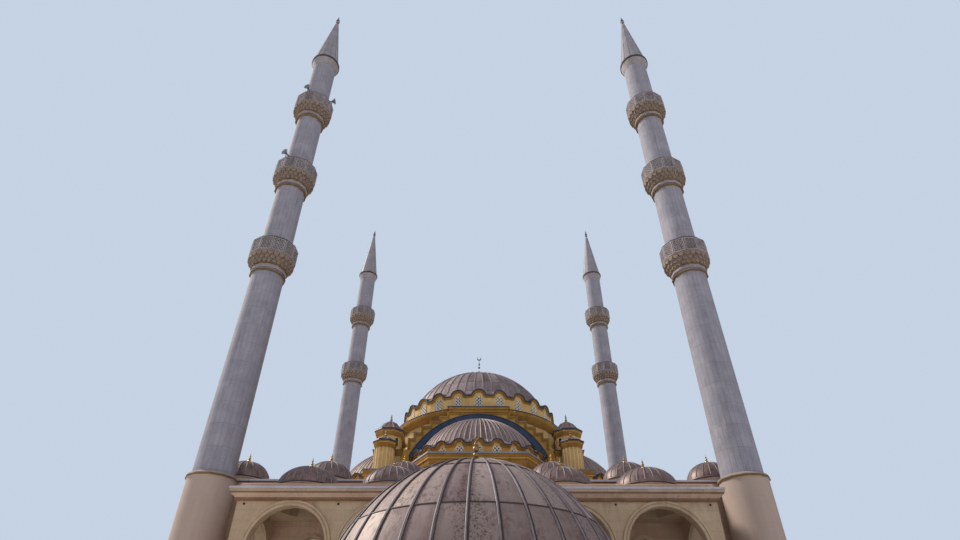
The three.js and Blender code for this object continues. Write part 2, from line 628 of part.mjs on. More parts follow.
function porticoRoof() {
  const back = -HALL - CORNICE_OUT - GAP;
  const { out, footZ } = PORTICO_EAVES;
  const middleY = -(HALL + PORTICO_Y) / 2;
  const slab = solidOf(box(-PORTICO, PORTICO, -PORTICO_Y, -HALL - GAP, PORTICO_CEILING_Z, PORTICO_ROOF_Z));
  const eaves = solidOf(box(-PORTICO - out, PORTICO + out, -PORTICO_Y - out, back, footZ, PORTICO_ROOF_Z));
  const parts = [slab, eaves];
  const hollows = [];
  const lastBay = (PORTICO_BAYS - 1) / 2;
  for (let bay = -lastBay; bay <= lastBay; bay++) {
    parts.push(smallDome(PORTICO_DOME, PORTICO_ROOF_Z - GAP, bay * BAY, middleY));
    hollows.push(smallDomeHollow(PORTICO_DOME, PORTICO_CEILING_Z, bay * BAY, middleY));
  }
  return cut(joined(parts), hollows);
}

// Forecourt pavilion, drawn round its own axis
const pavilionY = stepsFrontY - GAP - PLINTH_APOTHEM;
const plinthTopZ = 2 * PLINTH_RISE;

function pavilionPlinth() {
  const low = solidOf(upright(polygon(8, PLINTH_APOTHEM), 0, PLINTH_RISE));
  return low.add(solidOf(upright(polygon(8, PLINTH_APOTHEM - PLINTH_STEP), 0, plinthTopZ)));
}

function pavilionArcade() {
  const [foot, inner] = [plinthTopZ + GAP, PAVILION_APOTHEM - PAVILION_WALL];
  const wall = solidOf(upright(polygon(8, PAVILION_APOTHEM), foot, PAVILION_TOP_Z));
  const cornice = upright(polygon(8, PAVILION_APOTHEM + CORNICE_OUT), PAVILION_CORNICE_Z, PAVILION_TOP_Z);
  const inside = solidOf(upright(polygon(8, inner), 0, PAVILION_TOP_Z + BEYOND));
  const shape = archedOutline(0, PAVILION_ARCH_RADIUS, 0, PAVILION_SPRING_Z);
  const arch = standing(shape, -PAVILION_APOTHEM - BEYOND, -inner + BEYOND, 4);
  const arches = [];
  for (let i = 0; i < 8; i++) arches.push(solidOf(turned(arch, (Math.PI * i) / 4)));
  return cut(wall.add(solidOf(cornice)), [inside, ...arches]);
}

function pavilionDome() {
  const top = PAVILION_DOME.centreZ + PAVILION_DOME.height;
  const shell = domeShell(PAVILION_DOME, PAVILION_TOP_Z + GAP, 6, DRUM_SIDES);
  return shell.add(finial(top - 0.05, PAVILION_DOME.tipZ, 0.14, 8, top - 0.2));
}

// Minarets
function shaftRadiusAt(z) {
  const share = (z - SHAFT_FOOT.z) / (SHAFT_TOP.z - SHAFT_FOOT.z);
  return SHAFT_FOOT.radius + (SHAFT_TOP.radius - SHAFT_FOOT.radius) * share;
}

function minaret(collars) {
  const profile = [
    [0, 0],
    [PEDESTAL.radius, 0],
    [PEDESTAL.radius, PEDESTAL.ringZ - 0.04],
    [PEDESTAL.radius + PEDESTAL.ringOut, PEDESTAL.ringZ],
    [PEDESTAL.radius + PEDESTAL.ringOut, PEDESTAL.ringTopZ],
    [SHAFT_FOOT.radius, SHAFT_FOOT.z],
  ];
  const { radius, corbelFoot, floor, parapet, parapetWall } = BALCONY;
  for (const z of collars) {
    const shaft = shaftRadiusAt(z);
    profile.push([shaft, z - 0.12], [COLLAR_RADIUS, z], [shaft, z + 0.12], [shaft, z + corbelFoot]);
    profile.push([radius, z + floor], [radius, z + parapet], [radius - parapetWall, z + parapet]);
    profile.push([radius - parapetWall, z + floor + 0.2], [shaft, z + floor + 0.2]);
  }
  profile.push([SHAFT_TOP.radius, SHAFT_TOP.z], [0, SHAFT_TOP.z]);
  const body = solidOf(turnedProfile(profile, MINARET_SIDES));
  const well = solidOf(upright(polygon(8, STAIRWELL_RADIUS), FLOOR_Z, SHAFT_TOP.z + BEYOND));
  const cutters = [well];
  for (const z of collars) {
    const doorFoot = z + floor + 0.2;
    cutters.push(solidOf(box(-0.35, 0.35, 0.3, 1.4, doorFoot, doorFoot + 1.9)));
    cutters.push(solidOf(box(-0.15, 0.15, -1.4, -0.3, z - 2.1, z - 1.5)));
  }
  return cut(body, cutters);
}

function minaretSpire() {
  const eaveZ = SHAFT_TOP.z + GAP;
  const { radius, neckZ, tipZ } = SPIRE;
  const profile = [[0, eaveZ], [radius, eaveZ], [radius, eaveZ + 0.18], [radius * 0.88, eaveZ + 0.4]];
  return solidOf(turnedProfile([...profile, ...finialProfile(neckZ, tipZ, 0.2)], MINARET_SIDES));
}

// The whole building, from the ground up
place("podium", podium(), PODIUM_STONE);
place("rear_wall", hallWall(HALL, false), CREAM_WALL, 0, 0, SIDES.rear);
for (const side of ["front", "left", "right"]) {
  const hasDoorway = side === "front";
  const halfWidth = hasDoorway ? HALL : HALL - HALL_WALL - GAP;
  const [lower, upper] = [[FLOOR_Z, STOREY_Z], [STOREY_Z, WALL_TOP_Z]];
  place(side + "_wall_lower", hallWall(halfWidth, hasDoorway, ...lower), CREAM_WALL, 0, 0, SIDES[side]);
  place(side + "_wall_upper", hallWall(halfWidth, hasDoorway, ...upper), CREAM_WALL, 0, 0, SIDES[side]);
}
for (const [corner, [sx, sy]] of Object.entries(CORNERS)) {
  place("pier_" + corner, pier(sx, sy), CREAM_WALL);
}
for (const [side, turn] of Object.entries(SIDES)) {
  const isFull = side === "front" || side === "rear";
  const columns = side === "rear" ? hallColumns(WALL_TOP_Z + 2 * GAP) : [];
  const roof = cut(joined([hallRoof(isFull), ...columns]), minaretClearances(turn));
  place("roof_" + side, roof, CREAM_WALL, 0, 0, turn);
  place("half_dome_base_" + side, halfDomeBase(isFull), CREAM_WALL, 0, 0, turn);
  place("half_dome_" + side, halfDome(), LEAD, 0, 0, turn);
  place("great_arch_" + side, greatArch(), CREAM_WALL, 0, 0, turn);
  if (side === "rear") continue;
  const [first, second] = hallColumns(WALL_TOP_Z);
  place("hall_column_" + side + "_first", first, CREAM_WALL, 0, 0, turn);
  place("hall_column_" + side + "_second", second, CREAM_WALL, 0, 0, turn);
}
place("drum_base", drumBase(), CREAM_WALL);
place("main_drum", mainDrum(), CREAM_WALL);
place("main_dome", mainDome(), LEAD);
for (const [corner, [sx, sy]] of Object.entries(CORNERS)) {
  for (const [name, kind] of [["tall_turret_", TALL_TURRET], ["low_turret_", LOW_TURRET]]) {
    place(name + corner, turret(kind), CREAM_WALL, sx * kind.x, sy * kind.y);
  }
}
place("portico_front_arcade", frontArcade(), PORTICO_STONE);
for (const [name, x] of [["left", -PORTICO + ARCADE_WALL], ["right", PORTICO]]) {
  place("portico_" + name + "_arcade", endArcade(), PORTICO_STONE, x, -HALL - GAP);
}
place("portico_roof", porticoRoof(), PORTICO_STONE);
place("pavilion_plinth", pavilionPlinth(), PODIUM_STONE, 0, pavilionY);
place("pavilion_arcade", pavilionArcade(), PORTICO_STONE, 0, pavilionY);
place("pavilion_dome", pavilionDome(), PATINATED_LEAD, 0, pavilionY);
for (const { corner, end, x, y } of minaretPlaces) {
  place("minaret_" + corner, minaret(COLLARS_Z[end]), MINARET_STONE, x, y);
  place("minaret_spire_" + corner, minaretSpire(), LEAD, x, y);
}

export default mosque;
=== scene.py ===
# %% [markdown]
# A mosque at half its real size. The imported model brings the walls, piers, roofs and shafts as plain
# solids. This file gives them their finishes and adds what a plain solid lacks: ribbed lead domes,
# scalloped eaves, latticed windows, mouldings, balconies and finials.

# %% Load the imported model
import bmesh
import bpy
from math import acos, asin, cos, pi, radians, sin, sqrt, tan
from mathutils import Matrix, Vector


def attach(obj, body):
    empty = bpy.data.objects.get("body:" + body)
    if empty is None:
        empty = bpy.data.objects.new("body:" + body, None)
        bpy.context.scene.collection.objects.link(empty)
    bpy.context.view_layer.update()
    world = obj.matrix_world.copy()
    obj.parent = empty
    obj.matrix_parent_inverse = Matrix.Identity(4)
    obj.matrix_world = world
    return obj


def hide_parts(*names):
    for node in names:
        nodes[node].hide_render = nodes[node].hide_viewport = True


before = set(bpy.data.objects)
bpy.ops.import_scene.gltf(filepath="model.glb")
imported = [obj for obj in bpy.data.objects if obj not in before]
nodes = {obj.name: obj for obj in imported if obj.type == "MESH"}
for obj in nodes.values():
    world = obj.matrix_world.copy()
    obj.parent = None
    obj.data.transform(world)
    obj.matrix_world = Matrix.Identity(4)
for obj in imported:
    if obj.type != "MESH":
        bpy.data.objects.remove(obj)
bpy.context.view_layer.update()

# %% [markdown]
# All sizes below are sizes of the real building in metres, which are easier to judge than half
# sizes. A mesh is drawn at real size and halved once, when it is finished. The origin is on the
# ground under the main dome and the portico faces -Y.

# %% Sizes of the building
MODEL_SCALE = 0.5
TURN = 2 * pi
BAY = 4.6
HALL, STOREY_Z, PARAPET_Z = 16.1, 5.6, 11.85
BAYS = (-2, -1, 0, 1, 2)
SMALL_DOME_ROW = 14.36
PORTICO, PORTICO_Y, PORTICO_EAVES = 11.97, 20.6, 0.38
PORTICO_ROOF_Z = 10.12
PORTICO_DOME_Y = -(HALL + PORTICO_Y) / 2
ARCADE_SPRING_Z, ARCADE_ARCH = 7.4, 1.95
ARCH_FACE = 7.6
HALF_DOME_CENTRE = 7.1
FRONT_STEPS, STEP_DEPTH = 4, 0.46
PAVILION_Y = -PORTICO_Y - FRONT_STEPS * STEP_DEPTH - 5.8
PAVILION, PAVILION_EAVE_Z = 5.1, 3.87
MINARET_SIDES = 12
MINARET_Y = HALL + 1.34 * cos(pi / MINARET_SIDES)
MINARET_X = {"front": 15, "rear": 16.27}
PEDESTAL_TOP, SHAFT_FOOT, SHAFT_TOP, SHAFT_RING = 11.58, 11.74, 50.9, 1.35
MINARETS = {
    "front_left": (-MINARET_X["front"], -MINARET_Y),
    "front_right": (MINARET_X["front"], -MINARET_Y),
    "rear_left": (-MINARET_X["rear"], MINARET_Y),
    "rear_right": (MINARET_X["rear"], MINARET_Y),
}
SIDE_TURNS = {"front": 0, "right": TURN / 4, "rear": TURN / 2, "left": -TURN / 4}

# %% [markdown]
# The camera stands in front of the portico at eye height and looks steeply up, as in the
# photograph. It is set first, because everything else is judged through it.

# %% Camera
EYE = Vector((0.2, -50.6, 1.6))
FOCAL_PIXELS, PICTURE_WIDTH, SENSOR = 577.1, 960, 36
PITCH, YAW, ROLL = radians(36.68), radians(0.17), radians(0.2)
camera_data = bpy.data.cameras.new("camera")
camera_data.sensor_width = SENSOR
camera_data.lens = FOCAL_PIXELS * SENSOR / PICTURE_WIDTH
camera_data.clip_end = 200
camera = bpy.data.objects.new("camera", camera_data)
bpy.context.scene.collection.objects.link(camera)
upward = Matrix.Rotation(pi / 2 + PITCH, 4, "X")
camera.matrix_world = (Matrix.Translation(EYE * MODEL_SCALE) @ Matrix.Rotation(YAW, 4, "Z")
                       @ upward @ Matrix.Rotation(ROLL, 4, "Z"))
bpy.context.scene.camera = camera
print("lens", round(camera_data.lens, 2), "mm")

# %% [markdown]
# The sun stands high on the left and behind the building, behind thin cloud, so the sides that
# face the camera are in soft shade and left edges are bright. A soft sun lamp and an even world
# stand in for them. The backdrop is kept pale for the camera only, which the Light Path allows.

# %% Light, backdrop and floor
scene = bpy.context.scene
scene.view_settings.view_transform = "Standard"
scene.world = bpy.data.worlds.new("studio")
scene.world.use_nodes = True
sky = scene.world.node_tree
DAYLIGHT, DAYLIGHT_STRENGTH = (0.84, 0.87, 1.0, 1), 0.36
BACKDROP, BACKDROP_STRENGTH = (0.62, 0.72, 0.86, 1), 0.9
daylight, backdrop = sky.nodes["Background"], sky.nodes.new("ShaderNodeBackground")
for shader, colour, strength in ((daylight, DAYLIGHT, DAYLIGHT_STRENGTH),
                                 (backdrop, BACKDROP, BACKDROP_STRENGTH)):
    shader.inputs["Color"].default_value = colour
    shader.inputs["Strength"].default_value = strength
either = sky.nodes.new("ShaderNodeMixShader")
seen = sky.nodes.new("ShaderNodeLightPath").outputs["Is Camera Ray"]
for socket, source in zip(either.inputs, (seen, daylight.outputs[0], backdrop.outputs[0])):
    sky.links.new(source, socket)
sky.links.new(either.outputs[0], sky.nodes["World Output"].inputs["Surface"])


def lamp(name, strength, angle, tilt, heading, colour):
    """A sun lamp, whose shadows are as soft as its angle in degrees is wide."""
    data = bpy.data.lights.new(name, "SUN")
    data.energy = strength
    data.angle = radians(angle)
    data.color = colour
    made = bpy.data.objects.new(name, data)
    scene.collection.objects.link(made)
    made.rotation_euler = (radians(tilt), 0, radians(heading))


lamp("key", 3.4, 14, 52, -112, (1, 0.93, 0.82))
lamp("fill", 0.35, 60, 60, 25, (1, 0.98, 0.95))

FLOOR_SIZE, FLOOR_DROP = 400, 0.002
bpy.ops.mesh.primitive_plane_add(size=FLOOR_SIZE, location=(0, 0, -FLOOR_DROP))
floor = bpy.context.object
floor.name = "floor"

# %% [markdown]
# Mesh work happens on a small Shape: points and faces that can be turned, moved and joined before
# they become a Blender object. Most parts of a building are one of three forms, each a helper:
# a profile turned about an upright axis, an outline given a thickness, or a moulding swept along
# a path with mitred corners.

# %% Shape helpers
class Shape:
    def __init__(self, points=(), faces=()):
        self.points = [Vector(p) for p in points]
        self.faces = [tuple(f) for f in faces]

    def __add__(self, other):
        first = len(self.points)
        faces = self.faces + [tuple(i + first for i in f) for f in other.faces]
        return Shape(self.points + other.points, faces)

    def moved(self, x=0.0, y=0.0, z=0.0):
        return Shape([p + Vector((x, y, z)) for p in self.points], self.faces)

    def turned(self, angle, axis="Z"):
        turn = Matrix.Rotation(angle, 3, axis)
        return Shape([turn @ p for p in self.points], self.faces)


def together(shapes):
    whole = Shape()
    for shape in shapes:
        whole = whole + shape
    return whole


def grid_faces(rows, columns, rows_close, columns_close):
    faces = []
    for i in range(rows if rows_close else rows - 1):
        for j in range(columns if columns_close else columns - 1):
            k, n = (i + 1) % rows, (j + 1) % columns
            faces.append((i * columns + j, i * columns + n, k * columns + n, k * columns + j))
    return faces


def ends_closed(points, count, width, closed):
    """Sections of equal width joined one after another, with both ends shut unless they meet."""
    shape = Shape(points, grid_faces(count, width, closed, True))
    if not closed:
        last = width * (count - 1)
        shape.faces += [tuple(range(width)), tuple(range(last + width - 1, last - 1, -1))]
    return shape


def lathe(profile, sides, closed=True):
    """A profile of (radius, height) turned about z. A closed profile is a ring's whole section."""
    start = pi / sides - TURN / 4
    points = []
    for i in range(sides):
        c, s = cos(start + TURN * i / sides), sin(start + TURN * i / sides)
        points += [(r * c, r * s, z) for r, z in profile]
    return Shape(points, grid_faces(sides, len(profile), True, closed))


def prism(outline, low, high, axis="z"):
    """An outline given a thickness: along z for a plan, along y for an elevation in x and z."""
    n = len(outline)
    if axis == "z":
        points = [(a, b, h) for h in (low, high) for a, b in outline]
    else:
        points = [(a, h, b) for h in (low, high) for a, b in outline]
    faces = [tuple(range(n)), tuple(range(2 * n - 1, n - 1, -1))]
    faces += [(i, (i + 1) % n, n + (i + 1) % n, n + i) for i in range(n)]
    return Shape(points, faces)


def rectangle(x0, x1, y0, y1):
    return [(x0, y0), (x1, y0), (x1, y1), (x0, y1)]


def block(x0, x1, y0, y1, z0, z1):
    return prism(rectangle(x0, x1, y0, y1), z0, z1)


def wall_bands(wall, back, bands):
    """Raised bands on a wall that faces -Y, each given as (left, right, out, low, high)."""
    return together([block(x0, x1, -wall - out, -wall + back, low, high) for x0, x1, out, low, high in bands])


def sweep(path, section, up, closed=True):
    """A section of (outwards, upwards) points carried along a path, mitred at its corners."""
    up = Vector(up)
    path = [Vector(p) for p in path]
    count = len(path)
    points = []
    for i, here in enumerate(path):
        before = path[i - 1] if closed or i else None
        after = path[(i + 1) % count] if closed or i < count - 1 else None
        ways = [(b - a).normalized() for a, b in ((before, here), (here, after)) if a and b]
        outs = [way.cross(up).normalized() for way in ways]
        out = sum(outs, Vector())
        out = out * (len(outs) / out.length_squared) if len(outs) == 2 else out
        points += [here + out * u + up * v for u, v in section]
    return ends_closed(points, count, len(section), closed)


def polygon(sides, apothem, middle):
    """Corners of a regular polygon with a flat side towards -Y, anticlockwise."""
    r = apothem / cos(pi / sides)
    angles = [pi * (2 * i + 1) / sides - TURN / 4 for i in range(sides)]
    return [(middle[0] + r * cos(a), middle[1] + r * sin(a)) for a in angles]


def arc(middle, radius, first, last, steps):
    """Points of a circle's arc in a plane, from one angle to another."""
    angles = [first + (last - first) * i / steps for i in range(steps + 1)]
    return [(middle[0] + radius * cos(a), middle[1] + radius * sin(a)) for a in angles]


def shifted(profile, out, up):
    """A profile that was written from its own corner, moved to its radius and height."""
    return [(u + out, v + up) for u, v in profile]


def arched(half_width, sill, spring, steps=10):
    """Outline of an opening with a round head, in x and z, anticlockwise."""
    return [(-half_width, sill), (half_width, sill)] + arc((0, spring), half_width, 0, pi, steps)


# %% [markdown]
# Every piece ends the same way. Its doubles are merged, its faces are turned outwards, it is
# halved to the model's scale, and it rides on the one body that the building has. Flat parts keep
# crisp edges, because faces are only smoothed where they meet at a shallow angle.

# %% Finishing a piece
LEAD, OLD_LEAD, PLASTER = "lead_sheet", "patinated_lead", "cream_plaster"
PORTICO_STONE, MINARET_STONE = "portico_stone", "minaret_stone"
SMOOTH_BELOW, ROLL_SMOOTH_BELOW = radians(35), radians(60)
MERGE_DISTANCE = 1e-4


def settle(mesh, smooth_below=SMOOTH_BELOW):
    work = bmesh.new()
    work.from_mesh(mesh)
    bmesh.ops.remove_doubles(work, verts=work.verts, dist=MERGE_DISTANCE)
    bmesh.ops.dissolve_degenerate(work, edges=work.edges, dist=MERGE_DISTANCE / 10)
    bmesh.ops.recalc_face_normals(work, faces=work.faces)
    work.to_mesh(mesh)
    work.free()
    mesh.transform(Matrix.Scale(MODEL_SCALE, 4))
    mesh.shade_smooth()
    mesh.set_sharp_from_angle(angle=smooth_below)


def carry(name, mesh, finish):
    made = bpy.data.objects.new(name, mesh)
    scene.collection.objects.link(made)
    mesh.materials.clear()
    mesh.materials.append(finish)
    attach(made, "root")
    print(f"{name}: {sum(len(p.vertices) - 2 for p in mesh.polygons)} triangles")
    return made


def mesh_of(name, points, edges=(), faces=()):
    mesh = bpy.data.meshes.new(name)
    mesh.from_pydata([tuple(p) for p in points], edges, faces)
    return mesh


def piece(name, shape, finish, smooth_below=SMOOTH_BELOW):
    mesh = mesh_of(name, shape.points, (), shape.faces)
    settle(mesh, smooth_below)
    return carry(name, mesh, finish)


# %% [markdown]
# A building repeats its parts: ribs and windows go round an axis, small domes and wall windows
# stand on a set-out. Geometry Nodes make the copies from one drawn shape. One tree places copies
# round an axis, a second places them on the points of a mesh, and a third turns a line into a
# rolled seam and repeats it round a dome. Each tree ends in real geometry with its material.

# %% Trees that make the copies
def new_tree(name, sockets):
    tree = bpy.data.node_groups.new(name, "GeometryNodeTree")
    tree.interface.new_socket("Geometry", in_out="INPUT", socket_type="NodeSocketGeometry")
    for label, kind in sockets:
        tree.interface.new_socket(label, in_out="INPUT", socket_type="NodeSocket" + kind)
    tree.interface.new_socket("Geometry", in_out="OUTPUT", socket_type="NodeSocketGeometry")
    return tree, tree.nodes.new("NodeGroupInput"), tree.nodes.new("NodeGroupOutput")


def add_node(tree, kind, links=(), **settings):
    node = tree.nodes.new(kind)
    for key, value in settings.items():
        setattr(node, key, value)
    for socket, source in links:
        if hasattr(source, "is_output"):
            tree.links.new(source, node.inputs[socket])
        else:
            node.inputs[socket].default_value = source
    return node


def end_tree(tree, source, output, given):
    real = add_node(tree, "GeometryNodeRealizeInstances", [("Geometry", source)])
    links = [("Geometry", real.outputs[0]), ("Material", given.outputs["Finish"])]
    painted = add_node(tree, "GeometryNodeSetMaterial", links)
    tree.links.new(painted.outputs[0], output.inputs[0])


def copies_round(tree, given, geometry):
    spots = add_node(tree, "GeometryNodePoints", [("Count", given.outputs["Count"])])
    index = add_node(tree, "GeometryNodeInputIndex")
    step = add_node(tree, "ShaderNodeMath", [(0, index.outputs[0]), (1, given.outputs["Step"])],
                    operation="MULTIPLY")
    angle = add_node(tree, "ShaderNodeMath", [(0, step.outputs[0]), (1, given.outputs["First"])],
                     operation="ADD")
    turn = add_node(tree, "ShaderNodeCombineXYZ", [("Z", angle.outputs[0])])
    links = [("Points", spots.outputs[0]), ("Instance", geometry), ("Rotation", turn.outputs[0])]
    return add_node(tree, "GeometryNodeInstanceOnPoints", links).outputs[0]


ROUND_SOCKETS = [("Count", "Int"), ("First", "Float"), ("Step", "Float"), ("Finish", "Material")]
round_tree, given, output = new_tree("copies round an axis", [("Piece", "Object")] + ROUND_SOCKETS)
info = add_node(round_tree, "GeometryNodeObjectInfo", [("Object", given.outputs["Piece"])])
end_tree(round_tree, copies_round(round_tree, given, info.outputs["Geometry"]), output, given)

seam_tree, given, output = new_tree("seams round a dome", [("Thickness", "Float")] + ROUND_SOCKETS)
line = add_node(seam_tree, "GeometryNodeMeshToCurve", [("Mesh", given.outputs["Geometry"])])
circle = add_node(seam_tree, "GeometryNodeCurvePrimitiveCircle",
                  [("Resolution", 6), ("Radius", given.outputs["Thickness"])])
links = [("Curve", line.outputs[0]), ("Profile Curve", circle.outputs["Curve"]), ("Fill Caps", True)]
seam = add_node(seam_tree, "GeometryNodeCurveToMesh", links)
end_tree(seam_tree, copies_round(seam_tree, given, seam.outputs[0]), output, given)

spots_tree, given, output = new_tree("copies on points", [("Piece", "Object"), ("Finish", "Material")])
info = add_node(spots_tree, "GeometryNodeObjectInfo", [("Object", given.outputs["Piece"])])
angle = add_node(spots_tree, "GeometryNodeInputNamedAttribute", [("Name", "turn")])
turn = add_node(spots_tree, "ShaderNodeCombineXYZ", [("Z", angle.outputs["Attribute"])])
links = [("Points", given.outputs["Geometry"]), ("Instance", info.outputs["Geometry"]),
         ("Rotation", turn.outputs[0])]
placed = add_node(spots_tree, "GeometryNodeInstanceOnPoints", links)
end_tree(spots_tree, placed.outputs[0], output, given)


# %% [markdown]
# A tree runs on a throw-away host object. Its inputs are set by their identifiers, the evaluated
# result is copied into a plain mesh, and the host and the drawn shape are deleted.

# %% Running a tree
def plain_object(name, points, edges=(), faces=()):
    made = bpy.data.objects.new(name, mesh_of(name, points, edges, faces))
    scene.collection.objects.link(made)
    return made


def run_tree(tree, host, values, helpers):
    modifier = host.modifiers.new("tree", "NODES")
    modifier.node_group = tree
    for item in tree.interface.items_tree:
        if item.in_out == "INPUT" and item.name in values:
            modifier[item.identifier] = values[item.name]
    bpy.context.view_layer.update()
    evaluated = host.evaluated_get(bpy.context.evaluated_depsgraph_get())
    mesh = bpy.data.meshes.new_from_object(evaluated)
    for used in (host, *helpers):
        bpy.data.objects.remove(used)
    return mesh


def shape_of(mesh):
    """A tree's mesh as a Shape again, so that it can be moved and joined."""
    shape = Shape([v.co for v in mesh.vertices], [tuple(p.vertices) for p in mesh.polygons])
    bpy.data.meshes.remove(mesh)
    return shape


def ring(shape, count, step=None, first=0.0):
    """Copies of a drawn shape round the z axis."""
    drawn = plain_object("drawn", shape.points, (), shape.faces)
    values = {"Piece": drawn, "Count": count, "First": first, "Step": step or TURN / count}
    return shape_of(run_tree(round_tree, plain_object("host", []), values, [drawn]))


def rolled_seams(meridian, thickness, count, first=0.0, step=None):
    """Rolled seams along a dome's meridian, a list of (radius, height)."""
    points = [(0, -r, z) for r, z in meridian]
    edges = [(i, i + 1) for i in range(len(points) - 1)]
    values = {"Thickness": thickness, "Count": count, "First": first, "Step": step or TURN / count}
    return shape_of(run_tree(seam_tree, plain_object("meridian", points, edges), values, []))


def copies(name, shape, finish, places, smooth_below=SMOOTH_BELOW):
    """A drawn shape set on places given as (x, y, z, turn), finished as one piece."""
    drawn = plain_object("drawn", shape.points, (), shape.faces)
    host = plain_object("host", [place[:3] for place in places])
    turns = host.data.attributes.new("turn", "FLOAT", "POINT")
    turns.data.foreach_set("value", [float(place[3]) for place in places])
    mesh = run_tree(spots_tree, host, {"Piece": drawn, "Finish": finish}, [drawn])
    settle(mesh, smooth_below)
    return carry(name, mesh, finish)


def set_layers(name, layers, places):
    """Pieces that share their places. Each layer is a kind, a shape, a finish and a slot."""
    for kind, shape, finish, slot in layers:
        if shape.points:
            smooth_below = ROLL_SMOOTH_BELOW if kind == "ribs" else SMOOTH_BELOW
            copies(f"{name}_{kind}", shape, finish, places, smooth_below)


# %% [markdown]
# The finishes share a few effects: patchy weather, runs of dirt, and joints between blocks or
# panels. Each is a shader group with named inputs, built once and placed in every material that
# needs it. All read Object coordinates, so a pattern stays fixed on the building.

# %% Helpers for shader groups
def paint(red, green, blue):
    """A colour picked on a screen, turned into the light values that a shader mixes."""
    return (*[(c / 255) ** 2.2 for c in (red, green, blue)], 1)


def new_group(name, inputs, outputs):
    group = bpy.data.node_groups.new(name, "ShaderNodeTree")
    for label, kind in inputs:
        group.interface.new_socket(label, in_out="INPUT", socket_type="NodeSocket" + kind)
    for label, kind in outputs:
        group.interface.new_socket(label, in_out="OUTPUT", socket_type="NodeSocket" + kind)
    return group, group.nodes.new("NodeGroupInput").outputs, group.nodes.new("NodeGroupOutput").inputs


def maths(tree, operation, *values):
    """A Math node. Each value is a number or another node's output."""
    links = list(enumerate(values))
    return add_node(tree, "ShaderNodeMath", links, operation=operation).outputs[0]


def product(tree, *values):
    """The values multiplied one after another."""
    result = values[0]
    for value in values[1:]:
        result = maths(tree, "MULTIPLY", result, value)
    return result


def blend(tree, amount, first, second):
    """Two colours mixed. The node keeps its colours in sockets 6 and 7 and its result in socket 2."""
    links = [("Factor", amount), (6, first), (7, second)]
    return add_node(tree, "ShaderNodeMix", links, data_type="RGBA").outputs[2]


def noise(tree, vector, size, detail=4):
    """Noise between about 0.3 and 0.7, with blobs of the given size in metres."""
    scale = maths(tree, "DIVIDE", 1, size)
    links = [("Vector", vector), ("Scale", scale), ("Detail", detail), ("Roughness", 0.6)]
    return add_node(tree, "ShaderNodeTexNoise", links).outputs[0]


def step_up(tree, value, low, high):
    """0 below the low value, 1 above the high one and an even rise between."""
    links = [("Value", value), ("From Min", low), ("From Max", high)]
    return add_node(tree, "ShaderNodeMapRange", links).outputs[0]


# %% [markdown]
# Weather is two tones in soft patches, a fine grain, and stains that run down the surface.
# The runs are the same noise stretched upwards: it changes fast sideways and slowly in height.

# %% Weather group
weather, given, put = new_group(
    "weather",
    [("Vector", "Vector"), ("Colour", "Color"), ("Second colour", "Color"), ("Stain", "Color"),
     ("Patch size", "Float"), ("Run width", "Float"), ("Stain amount", "Float")],
    [("Colour", "Color"), ("Height", "Float")])
patches = step_up(weather, noise(weather, given["Vector"], given["Patch size"]), 0.35, 0.65)
toned = blend(weather, patches, given["Colour"], given["Second colour"])
stretched = add_node(weather, "ShaderNodeVectorMath", [(0, given["Vector"]), (1, (1, 1, 0.16))],
                     operation="MULTIPLY").outputs[0]
runs = step_up(weather, noise(weather, stretched, given["Run width"], 6), 0.5, 0.72)
clouds = step_up(weather, noise(weather, given["Vector"], 0.9, 3), 0.38, 0.62)
stained = product(weather, runs, clouds, given["Stain amount"])
dirty = blend(weather, stained, toned, given["Stain"])
grain = noise(weather, given["Vector"], 0.03, 4)
shade = add_node(weather, "ShaderNodeMapRange", [("Value", grain), ("To Min", 0.76), ("To Max", 1.24)])
tinted = add_node(weather, "ShaderNodeVectorMath", [(0, dirty), ("Scale", shade.outputs[0])],
                  operation="SCALE").outputs[0]
weather.links.new(tinted, put["Colour"])
weather.links.new(maths(weather, "ADD", grain, product(weather, patches, 0.3)), put["Height"])

# %% [markdown]
# Flat walls are laid in courses. The wall's own facing decides which way the courses run, so one
# group serves all four sides: across x on walls that face y, and across y on walls that face x.

# %% Courses group
courses, given, put = new_group(
    "courses", [("Course height", "Float"), ("Block length", "Float"), ("Joint width", "Float")],
    [("Joint", "Float"), ("Tone", "Float")])
place = courses.nodes.new("ShaderNodeTexCoord")
spot = add_node(courses, "ShaderNodeSeparateXYZ", [(0, place.outputs["Object"])])
facing = add_node(courses, "ShaderNodeSeparateXYZ", [(0, place.outputs["Normal"])])
sideways = step_up(courses, maths(courses, "ABSOLUTE", facing.outputs["X"]), 0.70, 0.72)
along = maths(courses, "ADD", product(courses, spot.outputs["Y"], sideways),
              product(courses, spot.outputs["X"], maths(courses, "SUBTRACT", 1, sideways)))
laid = add_node(courses, "ShaderNodeCombineXYZ", [("X", along), ("Y", spot.outputs["Z"])]).outputs[0]
bricks = add_node(courses, "ShaderNodeTexBrick",
                  [("Vector", laid), ("Scale", 1), ("Color1", (0, 0, 0, 1)), ("Color2", (1, 1, 1, 1)),
                   ("Mortar", (0.5, 0.5, 0.5, 1)), ("Mortar Size", given["Joint width"]),
                   ("Mortar Smooth", 0.3), ("Brick Width", given["Block length"]),
                   ("Row Height", given["Course height"])])
courses.links.new(bricks.outputs["Fac"], put["Joint"])
courses.links.new(bricks.outputs["Color"], put["Tone"])

# %% [markdown]
# Round surfaces are divided by angle instead: a dome into gores between its seams, a shaft into
# blocks round each ring. The group puts out the joints and one random tone for each panel.

